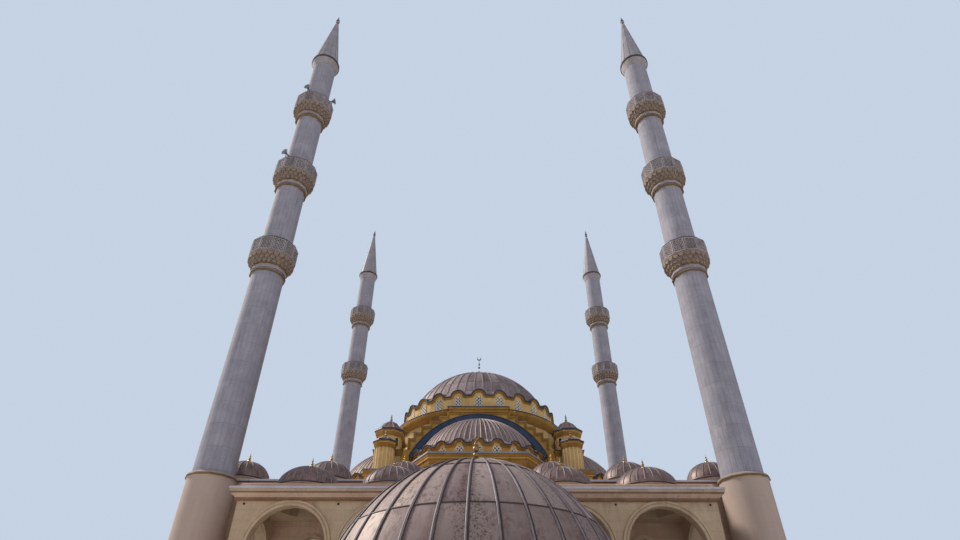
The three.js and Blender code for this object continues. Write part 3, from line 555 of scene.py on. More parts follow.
# %% Panels group
panels, given, put = new_group(
    "panels round an axis",
    [("Vector", "Vector"), ("Count", "Float"), ("Panel height", "Float"), ("First height", "Float")],
    [("Tone", "Float"), ("Across", "Float"), ("Up", "Float"), ("Runs", "Vector")])
spot = add_node(panels, "ShaderNodeSeparateXYZ", [(0, given["Vector"])]).outputs
angle = maths(panels, "DIVIDE", maths(panels, "ARCTAN2", spot["X"], spot["Y"]), TURN)
lift = maths(panels, "SUBTRACT", spot["Z"], given["First height"])
rows = maths(panels, "DIVIDE", lift, given["Panel height"])
row = maths(panels, "FLOOR", rows)
gores = product(panels, angle, given["Count"])
gore = maths(panels, "FLOOR", gores)
which = add_node(panels, "ShaderNodeCombineXYZ", [("X", gore), ("Y", row)]).outputs[0]
tone = add_node(panels, "ShaderNodeTexWhiteNoise", [("Vector", which)], noise_dimensions="2D")
panels.links.new(tone.outputs["Value"], put["Tone"])
# distance from the nearest joint, as a share of the panel: 0 on the joint, 0.5 in the middle
for label, value, whole in (("Across", gores, gore), ("Up", rows, row)):
    share = maths(panels, "SUBTRACT", value, whole)
    edge = maths(panels, "SUBTRACT", 0.5, maths(panels, "ABSOLUTE", maths(panels, "SUBTRACT", share, 0.5)))
    panels.links.new(edge, put[label])
run = add_node(panels, "ShaderNodeCombineXYZ", [("X", gores), ("Z", product(panels, lift, 0.35))])
panels.links.new(run.outputs[0], put["Runs"])

# %% [markdown]
# Each material is then a short recipe: a shader, the weather group with this finish's colours,
# and a little bump. Sizes in a recipe are sizes on the model, half those of the real building.

# %% Recipes
JOINT_WIDTH = 0.006


def new_finish(name, roughness, metallic=0.0):
    made = bpy.data.materials.new(name)
    made.use_nodes = True
    tree = made.node_tree
    surface = tree.nodes["Principled BSDF"]
    surface.inputs["Roughness"].default_value = roughness
    surface.inputs["Metallic"].default_value = metallic
    return made, tree, surface


def object_vector(tree, middle=(0, 0)):
    """Object coordinates, measured from a given middle in metres of the real building."""
    place = tree.nodes.new("ShaderNodeTexCoord").outputs["Object"]
    away = [-MODEL_SCALE * v for v in (*middle, 0)]
    return add_node(tree, "ShaderNodeMapping", [("Vector", place), ("Location", away)]).outputs[0]


def use_group(tree, group, links):
    return add_node(tree, "ShaderNodeGroup", links, node_tree=group).outputs


def weathered(tree, vector, colours, patch, run, stains):
    colour, second, stain = [c if hasattr(c, "is_output") else paint(*c) for c in colours]
    return use_group(tree, weather, [("Vector", vector), ("Colour", colour), ("Second colour", second),
                                     ("Stain", stain), ("Patch size", patch), ("Run width", run),
                                     ("Stain amount", stains)])


def panel_tones(tree, vector, count, height, first):
    """Panels round the upright axis of the vector, with heights in metres of the real building."""
    sizes = [("Panel height", height * MODEL_SCALE), ("First height", first * MODEL_SCALE)]
    return use_group(tree, panels, [("Vector", vector), ("Count", count), *sizes])


def finish_with(tree, surface, colour, height, strength, distance=0.004):
    tree.links.new(colour, surface.inputs["Base Color"])
    bump = add_node(tree, "ShaderNodeBump", [("Height", height), ("Strength", strength),
                                              ("Distance", distance)])
    tree.links.new(bump.outputs[0], surface.inputs["Normal"])


def plain_finish(name, colours, roughness, metallic=0.0, patch=0.5, run=0.12, stains=0.5, bump=0.25):
    made, tree, surface = new_finish(name, roughness, metallic)
    look = weathered(tree, object_vector(tree), colours, patch, run, stains)
    finish_with(tree, surface, look["Colour"], look["Height"], bump)
    return made


def coursed_finish(name, colours, joint, roughness, course, block):
    """Plaster or stone on flat walls, with its joints a little darker and sunk."""
    made, tree, surface = new_finish(name, roughness)
    laid = use_group(tree, courses, [("Course height", course), ("Block length", block),
                                     ("Joint width", JOINT_WIDTH)])
    look = weathered(tree, object_vector(tree), colours, 0.8, 0.16, 0.5)
    toned = blend(tree, product(tree, laid["Tone"], 0.16), look["Colour"], paint(*colours[2]))
    jointed = blend(tree, product(tree, laid["Joint"], 0.55), toned, paint(*joint))
    height = maths(tree, "SUBTRACT", product(tree, look["Height"], 0.2), laid["Joint"])
    finish_with(tree, surface, jointed, height, 0.5)
    return made


OCHRE = [(170, 130, 62), (148, 110, 48), (84, 62, 34)]
CREAM = [(222, 190, 134), (204, 168, 108), (134, 104, 62)]
GOLDEN = [(204, 158, 86), (184, 138, 70), (112, 82, 44)]
PINK = [(200, 172, 150), (186, 156, 134), (128, 104, 88)]
BEIGE = [(198, 176, 150), (182, 158, 132), (124, 102, 82)]
SHAFT = [(164, 162, 174), (146, 146, 160), (102, 98, 106)]
ochre_plaster = plain_finish("ochre_plaster", OCHRE, 0.85, stains=0.7)
cream_plaster = plain_finish("cream_plaster", CREAM, 0.88, stains=0.6)
golden_plaster = plain_finish("golden_plaster", GOLDEN, 0.88, stains=0.6)
pink_plaster = plain_finish("pink_plaster", PINK, 0.88, stains=0.6)
wall_plaster = coursed_finish("wall_plaster", PINK, (160, 134, 116), 0.88, 0.26, 0.55)
portico_wall = coursed_finish("portico_wall", BEIGE, (158, 138, 120), 0.85, 0.24, 0.5)
podium_wall = coursed_finish("podium_wall", [(178, 168, 154), (164, 152, 140), (110, 100, 90)],
                             (110, 102, 94), 0.9, 0.16, 0.45)
moulding_stone = plain_finish("moulding_stone", BEIGE, 0.85, stains=0.5)
brown_ochre = plain_finish("brown_ochre", [(150, 110, 66), (130, 94, 56), (80, 58, 38)], 0.85)
pale_cream = plain_finish("pale_cream", [(236, 208, 156), (220, 190, 136), (140, 112, 74)], 0.85)
old_ochre = plain_finish("old_ochre", [(132, 104, 66), (110, 86, 56), (66, 52, 38)], 0.85, stains=0.8)
dark_metal_edge = plain_finish("dark_metal_edge", [(72, 78, 100), (58, 62, 80), (52, 44, 46)], 0.5, 0.5)
blue_grey_metal = plain_finish("blue_grey_metal", [(128, 138, 158), (112, 120, 138), (96, 84, 76)], 0.45, 0.5)
kerb_stone = plain_finish("kerb_stone", [(142, 114, 96), (120, 96, 82), (78, 60, 50)], 0.85)
edge_grey = plain_finish("edge_grey", [(150, 150, 166), (130, 130, 146), (96, 88, 86)], 0.5, 0.2)
lilac_metal = plain_finish("lilac_metal", [(196, 192, 212), (178, 176, 194), (120, 108, 104)], 0.5, 0.2)
band_lead = plain_finish("band_lead", [(58, 76, 112), (44, 60, 58), (40, 40, 50)], 0.5, 0.4, patch=0.14)
# dark glass, whose black also serves as painted shade in niches, doorways and drain holes
glass_and_painted_shade = plain_finish("glass_and_painted_shade", [(16, 16, 20), (24, 25, 32), (10, 10, 12)], 0.4, bump=0.05)
white_lattice = plain_finish("white_lattice", [(250, 248, 240), (236, 232, 222), (170, 160, 140)], 0.7)
gilding = plain_finish("gilding", [(212, 168, 78), (180, 134, 58), (96, 74, 46)], 0.32, 0.9, bump=0.1)
old_copper = plain_finish("old_copper", [(176, 140, 112), (138, 122, 80), (84, 66, 50)], 0.4, 0.7, bump=0.1)
dark_balls = plain_finish("dark_balls", [(70, 62, 54), (52, 46, 42), (34, 30, 28)], 0.4, 0.7, bump=0.1)
print(len(bpy.data.materials), "materials so far")

# %% [markdown]
# Sheet lead weathers from blue grey to brown and lilac. Each gore between two seams was laid from
# its own sheets, so its tone differs from its neighbours, and dark runs follow the fall of the
# dome. The recipe measures angles from the dome's own middle.

# %% Lead on domes
def dome_lead(name, middle, count, panel, first, tones, stain, wash=0.75, turned_by=0.0, painted_shade_below=None):
    """Lead sheets round the upright axis through middle. Tones are a low, a middle and a high one.
    Below a given height the lead is darkened down to the height first, a painted shade on the dome's lower
    part."""
    made, tree, surface = new_finish(name, 0.6, 0.2)
    vector = object_vector(tree, middle)
    about = add_node(tree, "ShaderNodeVectorRotate", [("Vector", vector), ("Angle", -turned_by)],
                     rotation_type="Z_AXIS").outputs[0]
    sheets = panel_tones(tree, about, count, panel, first)
    low, mid, high = [paint(*c) for c in tones]
    light = blend(tree, sheets["Tone"], mid, high)
    down = step_up(tree, noise(tree, sheets["Runs"], 0.6, 5), 0.42, 0.62)
    worn = step_up(tree, sheets["Tone"], 0.9, 0.15)
    rusty = blend(tree, product(tree, down, wash, worn), light, low)
    look = weathered(tree, vector, [rusty, light, stain], 0.22, 0.07, 1.0)
    pits = step_up(tree, noise(tree, vector, 0.03, 5), 0.5, 0.62)
    pitted_sheets = step_up(tree, noise(tree, sheets["Runs"], 1.4, 2), 0.46, 0.58)
    pitted = blend(tree, product(tree, pits, pitted_sheets, 0.75), look["Colour"], paint(*stain))
    line = step_up(tree, sheets["Up"], 0.0, 0.02)
    edged = blend(tree, line, paint(*stain), pitted)
    # painted shade: below the given height the lead darkens towards the dome's foot
    if painted_shade_below:
        up = add_node(tree, "ShaderNodeSeparateXYZ", [(0, vector)]).outputs["Z"]
        rise = step_up(tree, up, (first - 2.4) * MODEL_SCALE, painted_shade_below * MODEL_SCALE)
        painted_shade_amount = maths(tree, "SUBTRACT", 0.6, product(tree, rise, 0.6))
        edged = blend(tree, painted_shade_amount, edged, paint(*stain))
    height = maths(tree, "ADD", look["Height"], product(tree, line, 0.6))
    finish_with(tree, surface, edged, height, 0.45, 0.006)
    return made


PAVILION_SEAM_Z, PAVILION_PANEL = 6.33, 1.74
PAVILION_TURN = radians(-2.2)
main_tones = [(88, 64, 58), (138, 120, 120), (182, 166, 168)]
main_dome_lead = dome_lead("main_dome_lead", (0, 0), count=48, panel=1.55, first=21.9, tones=main_tones,
                           stain=(60, 46, 42), turned_by=TURN / 96)
pavilion_tones = [(100, 64, 54), (144, 126, 128), (186, 168, 162)]
pavilion_lead = dome_lead("pavilion_lead", (0, PAVILION_Y), count=32, panel=PAVILION_PANEL,
                          first=PAVILION_SEAM_Z, tones=pavilion_tones, stain=(66, 42, 38), wash=0.95,
                          turned_by=PAVILION_TURN, painted_shade_below=7.4)
CAP = [(142, 120, 116), (112, 92, 88), (64, 48, 44)]
cap_lead = plain_finish("cap_lead", CAP, 0.5, 0.25, 0.18, 0.06, 0.95)
half_apron_lead = plain_finish("half_apron_lead", [(146, 128, 128), (124, 106, 104), (72, 54, 50)], 0.5, 0.25,
                               0.18, 0.06, 0.9)
half_seam_lead = plain_finish("half_seam_lead", [(204, 184, 180), (182, 160, 154), (104, 84, 78)], 0.5, 0.2,
                              0.3, 0.05, 0.6)
seam_shadow = plain_finish("seam_shadow", [(62, 52, 52), (74, 60, 58), (44, 36, 34)], 0.6)
seam_lead = plain_finish("seam_lead", [(150, 142, 150), (128, 118, 122), (84, 68, 64)], 0.6, 0.2,
                         0.3, 0.05, 0.8)

# %% [markdown]
# A shaft is laid ring by ring, two blocks to a side. Its joints are a little darker, the upright ones
# more than the level ones, and below the shaft's foot the pedestal is of a warmer stone.

# %% Stone of the shafts
def shaft_stone(name, middle):
    made, tree, surface = new_finish(name, 0.8)
    vector = object_vector(tree, middle)
    rings = panel_tones(tree, vector, 2 * MINARET_SIDES, SHAFT_RING, SHAFT_FOOT)
    look = weathered(tree, vector, SHAFT, 0.5, 0.1, 0.6)
    toned = blend(tree, product(tree, rings["Tone"], 0.14), look["Colour"], paint(*SHAFT[2]))
    level = step_up(tree, rings["Up"], 0.006, 0.022)
    upright = step_up(tree, rings["Across"], 0.02, 0.07)
    joints = maths(tree, "ADD", product(tree, level, 0.4), product(tree, upright, 0.6))
    jointed = blend(tree, joints, paint(128, 118, 116), toned)
    height_above = add_node(tree, "ShaderNodeSeparateXYZ", [(0, vector)]).outputs["Z"]
    above = step_up(tree, height_above, PEDESTAL_TOP * MODEL_SCALE, (PEDESTAL_TOP + 0.03) * MODEL_SCALE)
    pedestal = blend(tree, 0.75, jointed, paint(190, 166, 148))
    height = maths(tree, "ADD", product(tree, look["Height"], 0.2), joints)
    finish_with(tree, surface, blend(tree, above, pedestal, jointed), height, 0.4)
    return made


shaft_stones = {corner: shaft_stone("shaft_" + corner, middle) for corner, middle in MINARETS.items()}

# %% [markdown]
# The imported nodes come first. Most keep their shapes and only take their finishes: plaster, coursed
# stone or lead. The domes and the shafts are drawn again below, and those pieces stand for them.

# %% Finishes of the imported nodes
FINISHES_BY_START = {
    ("podium", "pavilion_plinth"): podium_wall,
    ("pavilion_arcade", "portico"): portico_wall,
    ("half_dome_base", "great_arch"): golden_plaster,
    ("drum_base", "main_drum", "tall", "low", "pier"): cream_plaster,
    ("main_dome", "half_dome", "pavilion_dome"): cap_lead,
}


def finish_of(name):
    if name.startswith("minaret"):
        return shaft_stones[name.removeprefix("minaret_").removeprefix("spire_")]
    for starts, finish in FINISHES_BY_START.items():
        if name.startswith(starts):
            return finish
    return wall_plaster if "_wall" in name else pink_plaster


for name, node in nodes.items():
    node.data.materials.clear()
    node.data.materials.append(finish_of(name))
print(len(nodes), "nodes have their finish")

# %% [markdown]
# A dome's shape follows a rule: its meridian is part of an ellipse that flares into a skirt at the
# eave. Turning it in many steps gives a smooth skin, and a second skin inside gives the thickness.
# The seams are rolled lead over wooden battens, which run from the eave almost to the crown.

# %% Domes
main = dict(radius=6.55, height=6.55, centre=19.65, thickness=0.35, skirt=6.05, skirt_top=22.22,
            foot=22.1, seam_foot=(6.79, 21.66), seams=48, seam=0.035)
pavilion = dict(radius=5.45, height=5.83, centre=3, thickness=0.3, skirt=5.45, skirt_top=4.2,
                foot=3.92, seam_foot=(5.46, 3.97), seams=32, seam=0.036)
half = dict(radius=5, height=5, centre=13.95, thickness=0.35, skirt=4.56, skirt_top=16.08,
            foot=15.95, seam_foot=(5.2, 15.66), seams=36, seam=0.03)
SEAM_SHADOW_ROLL, LEVEL_SEAM = 0.028, 0.025
MAIN_SEAM_HEIGHTS = (23.45, 25.0)


def meridian(dome, inset, low, steps):
    """Points (radius, height) of a dome's curve from a low height up to its crown."""
    a, b = dome["radius"] - inset, dome["height"] - inset
    first = asin((low - dome["centre"]) / b)
    angles = [first + (TURN / 4 - first) * i / steps for i in range(steps + 1)]
    return [(a * cos(t), dome["centre"] + b * sin(t)) for t in angles]


def skin_curves(dome, steps):
    """The outer and the inner curve of a dome's shell, from its foot to its crown."""
    outer = [(dome["skirt"], dome["foot"]), (dome["skirt"] - 0.02, dome["foot"] + 0.06)]
    return (outer + meridian(dome, 0, dome["skirt_top"], steps),
            meridian(dome, dome["thickness"], dome["foot"], steps // 2))


def dome_skin(dome):
    """Both skins of a dome as one closed shell, a grid that turns about z."""
    sides = 96
    outer, inner = [curve[:-1] for curve in skin_curves(dome, 28)]
    top, under = dome["centre"] + dome["height"], dome["centre"] + dome["height"] - dome["thickness"]
    skin = lathe(outer[::-1] + inner, sides, closed=False)
    width = len(outer) + len(inner)
    rings = len(skin.points)
    skin.points += [Vector((0, 0, top)), Vector((0, 0, under))]
    for i in range(sides):
        n = (i + 1) % sides
        skin.faces.append((i * width, n * width, rings))
        skin.faces.append((i * width + width - 1, n * width + width - 1, rings + 1))
    return skin


def seam_line(dome):
    """The line of a seam on the outside of a dome, from the eave almost to the crown."""
    rise = meridian(dome, -0.5 * dome["seam"], dome["skirt_top"], 26)
    return [dome["seam_foot"]] + [(r, z) for r, z in rise if r > 0.06 * dome["radius"]]


def level_seams(dome, heights, thickness):
    """Thin raised rings on the outside of a dome."""
    rings = []
    for z in heights:
        radius = dome["radius"] * sqrt(1 - ((z - dome["centre"]) / dome["height"]) ** 2)
        rings.append(lathe(arc((radius, z), thickness, 0, TURN, 6)[:-1], 72))
    return together(rings)


skin = piece("main_dome_skin", dome_skin(main), main_dome_lead)
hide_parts("main_dome")
seams = rolled_seams(seam_line(main), main["seam"], main["seams"], TURN / 2 / main["seams"])
piece("main_dome_seams", seams, seam_lead, ROLL_SMOOTH_BELOW)
piece("main_dome_level_seams", level_seams(main, MAIN_SEAM_HEIGHTS, LEVEL_SEAM), seam_lead)

skin = piece("pavilion_dome_skin", dome_skin(pavilion).moved(y=PAVILION_Y), pavilion_lead)
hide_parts("pavilion_dome")
# Each seam gets a dark roll beside it in the seam_shadow finish, a painted shadow on its side away from the
# light.
SEAM_SHIFT = 0.035 / pavilion["radius"]
for name, thick, finish, shift in (("seams", pavilion["seam"], seam_lead, -SEAM_SHIFT),
                                   ("seam_welts", SEAM_SHADOW_ROLL, seam_shadow, SEAM_SHIFT)):
    seams = rolled_seams(seam_line(pavilion), thick, pavilion["seams"], PAVILION_TURN + shift)
    piece("pavilion_dome_" + name, seams.moved(y=PAVILION_Y), finish, ROLL_SMOOTH_BELOW)
courses_up = level_seams(pavilion, [PAVILION_SEAM_Z, PAVILION_SEAM_Z + PAVILION_PANEL], 0.032)
piece("pavilion_dome_level_seams", courses_up.moved(y=PAVILION_Y), seam_shadow)

# %% [markdown]
# The four half domes are the same dome cut off by the face of the great arch. Each ring of the
# skin runs only as far round as that face, so the cut edge is a flat closed section. The seams
# are made whole by the tree and then sliced with the same plane.

# %% Half domes
CUT = ARCH_FACE - HALF_DOME_CENTRE


def half_skin(dome, cut):
    """The shell of a half dome, whose every level section ends on the plane of the cut."""
    sides = 56
    outer, inner = [[p for p in curve if p[0] > cut * 1.3] for curve in skin_curves(dome, 22)]
    a, b, t = dome["radius"], dome["height"], dome["thickness"]
    outer.append((cut, dome["centre"] + b * sqrt(1 - (cut / a) ** 2)))
    inner.append((cut, dome["centre"] + (b - t) * sqrt(1 - (cut / (a - t)) ** 2)))
    profile = outer + inner[::-1]
    points = []
    for i in range(sides + 1):
        share = 2 * i / sides - 1
        for r, z in profile:
            angle = share * acos(min(1, cut / r))
            points.append((r * sin(angle), -r * cos(angle), z))
    return ends_closed(points, sides + 1, len(profile), False)


def sliced(shape, point, normal):
    """The part of a shape on the far side of a plane from its normal, closed again."""
    mesh = mesh_of("sliced", shape.points, (), shape.faces)
    work = bmesh.new()
    work.from_mesh(mesh)
    bmesh.ops.remove_doubles(work, verts=work.verts, dist=MERGE_DISTANCE)
    everything = work.verts[:] + work.edges[:] + work.faces[:]
    bmesh.ops.bisect_plane(work, geom=everything, plane_co=point, plane_no=normal, clear_outer=True)
    bmesh.ops.holes_fill(work, edges=[e for e in work.edges if e.is_boundary], sides=0)
    work.to_mesh(mesh)
    work.free()
    return shape_of(mesh)


def four_sides(shape):
    return together([shape.turned(turn) for turn in SIDE_TURNS.values()])


def on_half_domes(shape):
    """A shape drawn round a half dome's own axis, set on all four of them."""
    return four_sides(shape.moved(y=-HALF_DOME_CENTRE))


HALF_GORE = TURN / 2 / half["seams"]
half_tones = [(92, 66, 60), (122, 104, 102), (152, 136, 136)]
for side, turn in SIDE_TURNS.items():
    middle = Matrix.Rotation(turn, 3, "Z") @ Vector((0, -HALF_DOME_CENTRE, 0))
    finish = dome_lead("half_dome_lead_" + side, middle.xy, count=2 * half["seams"], panel=1.9, first=15.9,
                       tones=half_tones, stain=(58, 44, 42), turned_by=HALF_GORE / 2)
    shell = half_skin(half, CUT).moved(y=-HALF_DOME_CENTRE).turned(turn)
    skin = piece(f"half_dome_skin_{side}", shell, finish)
    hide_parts(f"half_dome_{side}")

seams = rolled_seams([p for p in seam_line(half) if p[0] > CUT], half["seam"], half["seams"],
                     HALF_GORE / 2 - TURN / 4, HALF_GORE)
seams = sliced(seams, (0, -CUT, 0), (0, 1, 0))
piece("half_dome_seams", on_half_domes(seams), half_seam_lead, ROLL_SMOOTH_BELOW)

# %% [markdown]
# Under each dome runs a ring of small arched windows, and the eave rises over every window like
# an eyebrow. The eave is one long moulding drawn on the round wall: a path of arcs and level
# stretches, with a section carried along it at right angles to the path.

# %% Eyebrow eaves
BAYS_ROUND = 24
RINGS = {
    "drum": dict(bays=BAYS_ROUND, first=0, wall=6.563, half=0.31, sill=20.5, spring=21.24, eave=21.54,
                 crest=22.02, reach=6.78, inside=5.9, arch=0.52, hollow=0.12, lead=0.1,
                 dome_foot=(6.06, 22.22)),
    "half_drum": dict(bays=11, first=-5, wall=4.907, half=0.3, sill=14.85, spring=15.22, eave=15.58,
                      crest=15.9, reach=5.2, inside=4.3, arch=0.4, hollow=0.08, lead=0.075,
                      dome_foot=(4.58, 16.08)),
}


def eyebrow_path(spec):
    """(distance along the wall, height) of the eave: a round arch over each window that runs out in
    small hollows, and level stretches between."""
    radius, hollow = spec["arch"], spec["hollow"]
    last = acos(1 - (spec["crest"] - spec["eave"]) / (radius + hollow))
    foot = (radius + hollow) * sin(last)
    side = [(radius * sin(t), spec["crest"] - radius + radius * cos(t))
            for t in [last * i / 9 for i in range(10)]]
    side += [(foot - hollow * sin(t), spec["eave"] + hollow * (1 - cos(t)))
             for t in [last * i / 3 for i in (2, 1, 0)]]
    whole = [(-x, z) for x, z in side[:0:-1]] + side
    spacing = TURN / BAYS_ROUND * spec["wall"]
    middles = [(bay - spec["bays"] // 2) * spacing for bay in range(spec["bays"])]
    return [(middle + x, z) for middle in middles for x, z in whole]


def on_round_wall(path, section, radius, closed):
    """A section of (distance from the axis, offset) points carried along a path on a round wall."""
    round_trip = Vector((TURN * radius, 0))
    path = [Vector(p) for p in path]
    count = len(path)
    points = []
    for i, here in enumerate(path):
        before = path[i - 1] if i else (path[-1] - round_trip if closed else path[0])
        after = path[i + 1] if i < count - 1 else (path[0] + round_trip if closed else path[-1])
        way = (after - before).normalized()
        for out, off in section:
            angle = (here.x - way.y * off) / radius
            points.append((out * sin(angle), -out * cos(angle), here.y + way.x * off))
    return ends_closed(points, count, len(section), closed)


def beside_eave(path, spec, closed, corners):
    """A body that follows the eave. Its four corners are (radius, height) for each height of the eave."""
    points = []
    for along, z in path:
        angle = along / spec["wall"]
        points += [(r * sin(angle), -r * cos(angle), h) for r, h in corners(z)]
    return ends_closed(points, len(path), 4, closed)


def eyebrows(spec):
    """The plaster under an eave, its lead edge, the lead above it and the wall behind the arches."""
    wall, reach, inside, thick = spec["wall"], spec["reach"], spec["inside"], spec["lead"]
    path = eyebrow_path(spec)
    closed = spec["bays"] == BAYS_ROUND
    plaster = [(wall - 0.1, -0.16), (wall + 0.06, -0.16), (wall + 0.08, -0.09), (reach - 0.1, -0.06),
               (reach - 0.06, -0.02), (reach - 0.05, 0), (wall - 0.1, 0)]
    lead = [(inside, 0), (reach, -0.01), (reach + 0.015, 0.3 * thick), (reach + 0.01, 0.8 * thick),
            (reach - 0.04, thick), (inside, thick)]
    under, (top_reach, top) = spec["eave"] - 0.06, spec["dome_foot"]
    slope = beside_eave(path, spec, closed, lambda z: (
        (inside, z + 0.02), (reach - 0.03, z + 0.02), (top_reach, top), (inside, top)))
    behind = beside_eave(path, spec, closed, lambda z: (
        (inside, under), (wall + 0.01, under), (wall + 0.01, z), (inside, z)))
    return [on_round_wall(path, section, wall, closed) for section in (plaster, lead)] + [slope, behind]


def ring_layers(ring_name, shapes, kinds):
    """Pieces of the drum, or of all four half drums. Each kind is a name, a finish and a slot."""
    for shape, (kind, finish, slot) in zip(shapes, kinds):
        shape = on_half_domes(shape) if ring_name == "half_drum" else shape
        piece(f"{ring_name}_{kind}", shape, finish)


APRON_LEADS = {"drum": main_dome_lead, "half_drum": half_apron_lead}
for ring_name, spec in RINGS.items():
    ring_layers(ring_name, eyebrows(spec), [("eyebrow_soffits", ochre_plaster, PLASTER),
                                            ("eyebrow_leads", dark_metal_edge, LEAD),
                                            ("eave_aprons", APRON_LEADS[ring_name], LEAD),
                                            ("upper_wall", cream_plaster, PLASTER)])

# %% [markdown]
# A window is three layers: a raised plaster surround, a white plaster lattice of crossed bars, and
# dark glass behind it. The bars are drawn as long strips at 45 degrees and clipped to the arched
# outline, so every bar ends exactly on the frame.

# %% Latticed windows
def clipped(strip, outline):
    """A convex strip cut to a convex outline, both lists of (x, z), anticlockwise."""
    for i, (x1, z1) in enumerate(outline):
        x2, z2 = outline[(i + 1) % len(outline)]
        kept = []
        for j, p in enumerate(strip):
            q = strip[(j + 1) % len(strip)]
            here = (x2 - x1) * (p[1] - z1) - (z2 - z1) * (p[0] - x1)
            there = (x2 - x1) * (q[1] - z1) - (z2 - z1) * (q[0] - x1)
            if here >= 0:
                kept.append(p)
            if here * there < 0:
                t = here / (here - there)
                kept.append((p[0] + t * (q[0] - p[0]), p[1] + t * (q[1] - p[1])))
        strip = kept
        if len(strip) < 3:
            return []
    return strip


def lattice(outline, spacing, bar, depth, angles=(45, -45)):
    """Crossed bars that fill an outline, centred on the plane y = 0."""
    xs, zs = [p[0] for p in outline], [p[1] for p in outline]
    middle = ((min(xs) + max(xs)) / 2, (min(zs) + max(zs)) / 2)
    reach = max(max(xs) - min(xs), max(zs) - min(zs))
    bars = []
    for degrees in angles:
        c, s = cos(radians(degrees)), sin(radians(degrees))
        for k in range(-int(reach / spacing) - 1, int(reach / spacing) + 2):
            corners = [(-reach, -bar / 2), (reach, -bar / 2), (reach, bar / 2), (-reach, bar / 2)]
            strip = []
            for u, v in corners:
                v += (k + 0.5) * spacing
                strip.append((middle[0] + u * c - v * s, middle[1] + u * s + v * c))
            strip = clipped(strip, outline)
            if len(strip) >= 3:
                bars.append(prism(strip, -depth / 2, depth / 2, "y"))
    return together(bars)


def arched_surround(inner, outer, sill, spring, back, front, steps=10):
    """A raised frame round an opening with a round head, open at its sill."""
    head = arc((0, spring), inner, pi, 0, steps)
    outside = arc((0, spring), outer, 0, pi, steps)
    return prism([(-inner, sill), *head, (inner, sill), (outer, sill), *outside, (-outer, sill)],
                 -front, -back, "y")


def drum_windows(spec):
    half_width, sill, spring, wall = spec["half"], spec["sill"], spec["spring"], spec["wall"]
    outer = half_width + 0.06
    frame_of = arched_surround(half_width, outer, sill - 0.05, spring, wall - 0.02, wall + 0.04)
    sill_block = wall_bands(wall, 0.04, [(-outer, outer, 0.05, sill - 0.07, sill - 0.01)])
    outline = arched(half_width + 0.01, sill, spring)
    bars = lattice(outline, 0.19, 0.054, 0.04).moved(y=-wall - 0.005)
    rim = arched_surround(half_width - 0.04, half_width + 0.01, sill, spring, wall - 0.1, wall + 0.01)
    pane = prism(outline, -wall + 0.1, -wall + 0.14, "y")
    return frame_of + sill_block + rim, bars, pane


for ring_name, spec in RINGS.items():
    step = TURN / BAYS_ROUND
    rings = [ring(part, spec["bays"], step, spec["first"] * step) for part in drum_windows(spec)]
    ring_layers(ring_name, rings, [("window_frames", cream_plaster, PLASTER),
                                   ("window_lattices", white_lattice, PLASTER),
                                   ("window_panes", glass_and_painted_shade, LEAD)])

# %% [markdown]
# The mouldings give the building its lines of shadow. A cornice is drawn once as a section and
# carried along the wall. Its plaster steps out in two bands, and a thin strip of sheet metal on
# top throws the rain off.

# %% Cornice sections
def cornice(depth, out):
    """Section of a stepped cornice, from the wall outwards and down from its top at 0."""
    return [(0, -depth), (0.22 * out, -depth), (0.28 * out, -0.86 * depth), (0.42 * out, -0.8 * depth),
            (0.46 * out, -0.56 * depth), (0.66 * out, -0.48 * depth), (0.7 * out, -0.34 * depth),
            (out, -0.22 * depth), (out, 0), (0, 0)]


def metal_strip(out, thickness=0.06, back=0.15):
    return [(-back, 0), (out, -0.01), (out + 0.01, 0.02), (out - 0.02, thickness), (-back, thickness + 0.02)]


def along_plan(corners, z, section, closed=True):
    return sweep([(x, y, z) for x, y in corners], section, (0, 0, 1), closed)


def mouldings(name, corners, z, layers, closed=True):
    """Level mouldings along one plan. Each layer is a kind, a section, a finish and a slot."""
    for kind, section, finish, slot in layers:
        piece(f"{name}_{kind}", along_plan(corners, z, section, closed), finish)


# %% [markdown]
# The round wall under the drum and the hexagons under the half domes each end in a cornice with a
# metal edge. The hexagons run into the faces of the great arches, so their cornices stop there.

# %% Cornices of the upper building
DRUM_BASE, DRUM_BASE_TOP_Z, HEXAGON_TOP_Z = 7.5, 20.14, 14.64
ring_section = shifted([(-0.5, -0.64), (-0.38, -0.58), (-0.08, -0.36), (-0.02, -0.22), (0, 0), (-0.5, 0)],
                       DRUM_BASE, DRUM_BASE_TOP_Z)
edge_section = shifted([(-1, 0.12), (0, -0.02), (0.03, 0.02), (0, 0.07), (-1, 0.22)],
                       DRUM_BASE, DRUM_BASE_TOP_Z)
piece("drum_ring_cornice", lathe(ring_section, 72), ochre_plaster)
piece("drum_ring_lead", lathe(edge_section, 72), dark_metal_edge)


def hexagon_front(apothem):
    """The part of a half dome's hexagon in front of the great arch, from left to right."""
    corner = apothem * tan(TURN / 12)
    slope = (apothem / cos(TURN / 12) - corner) / apothem
    reach = corner + slope * (apothem - CUT - 0.02)
    y = -HALF_DOME_CENTRE - apothem
    return [(-reach, -ARCH_FACE - 0.02), (-corner, y), (corner, y), (reach, -ARCH_FACE - 0.02)]


for name, section, finish, slot in (("cornices", cornice(0.72, 0.24), ochre_plaster, PLASTER),
                                    ("edges", metal_strip(0.29, 0.13, 0.3), edge_grey, LEAD)):
    moulding = along_plan(hexagon_front(5.5), HEXAGON_TOP_Z, section, False)
    piece("hexagon_" + name, four_sides(moulding), finish)

# %% [markdown]
# The stepped outline of a great arch is edged by one narrow moulding that follows every tread and
# riser, and thin lead lies on the treads. Only the level top has a full cornice.

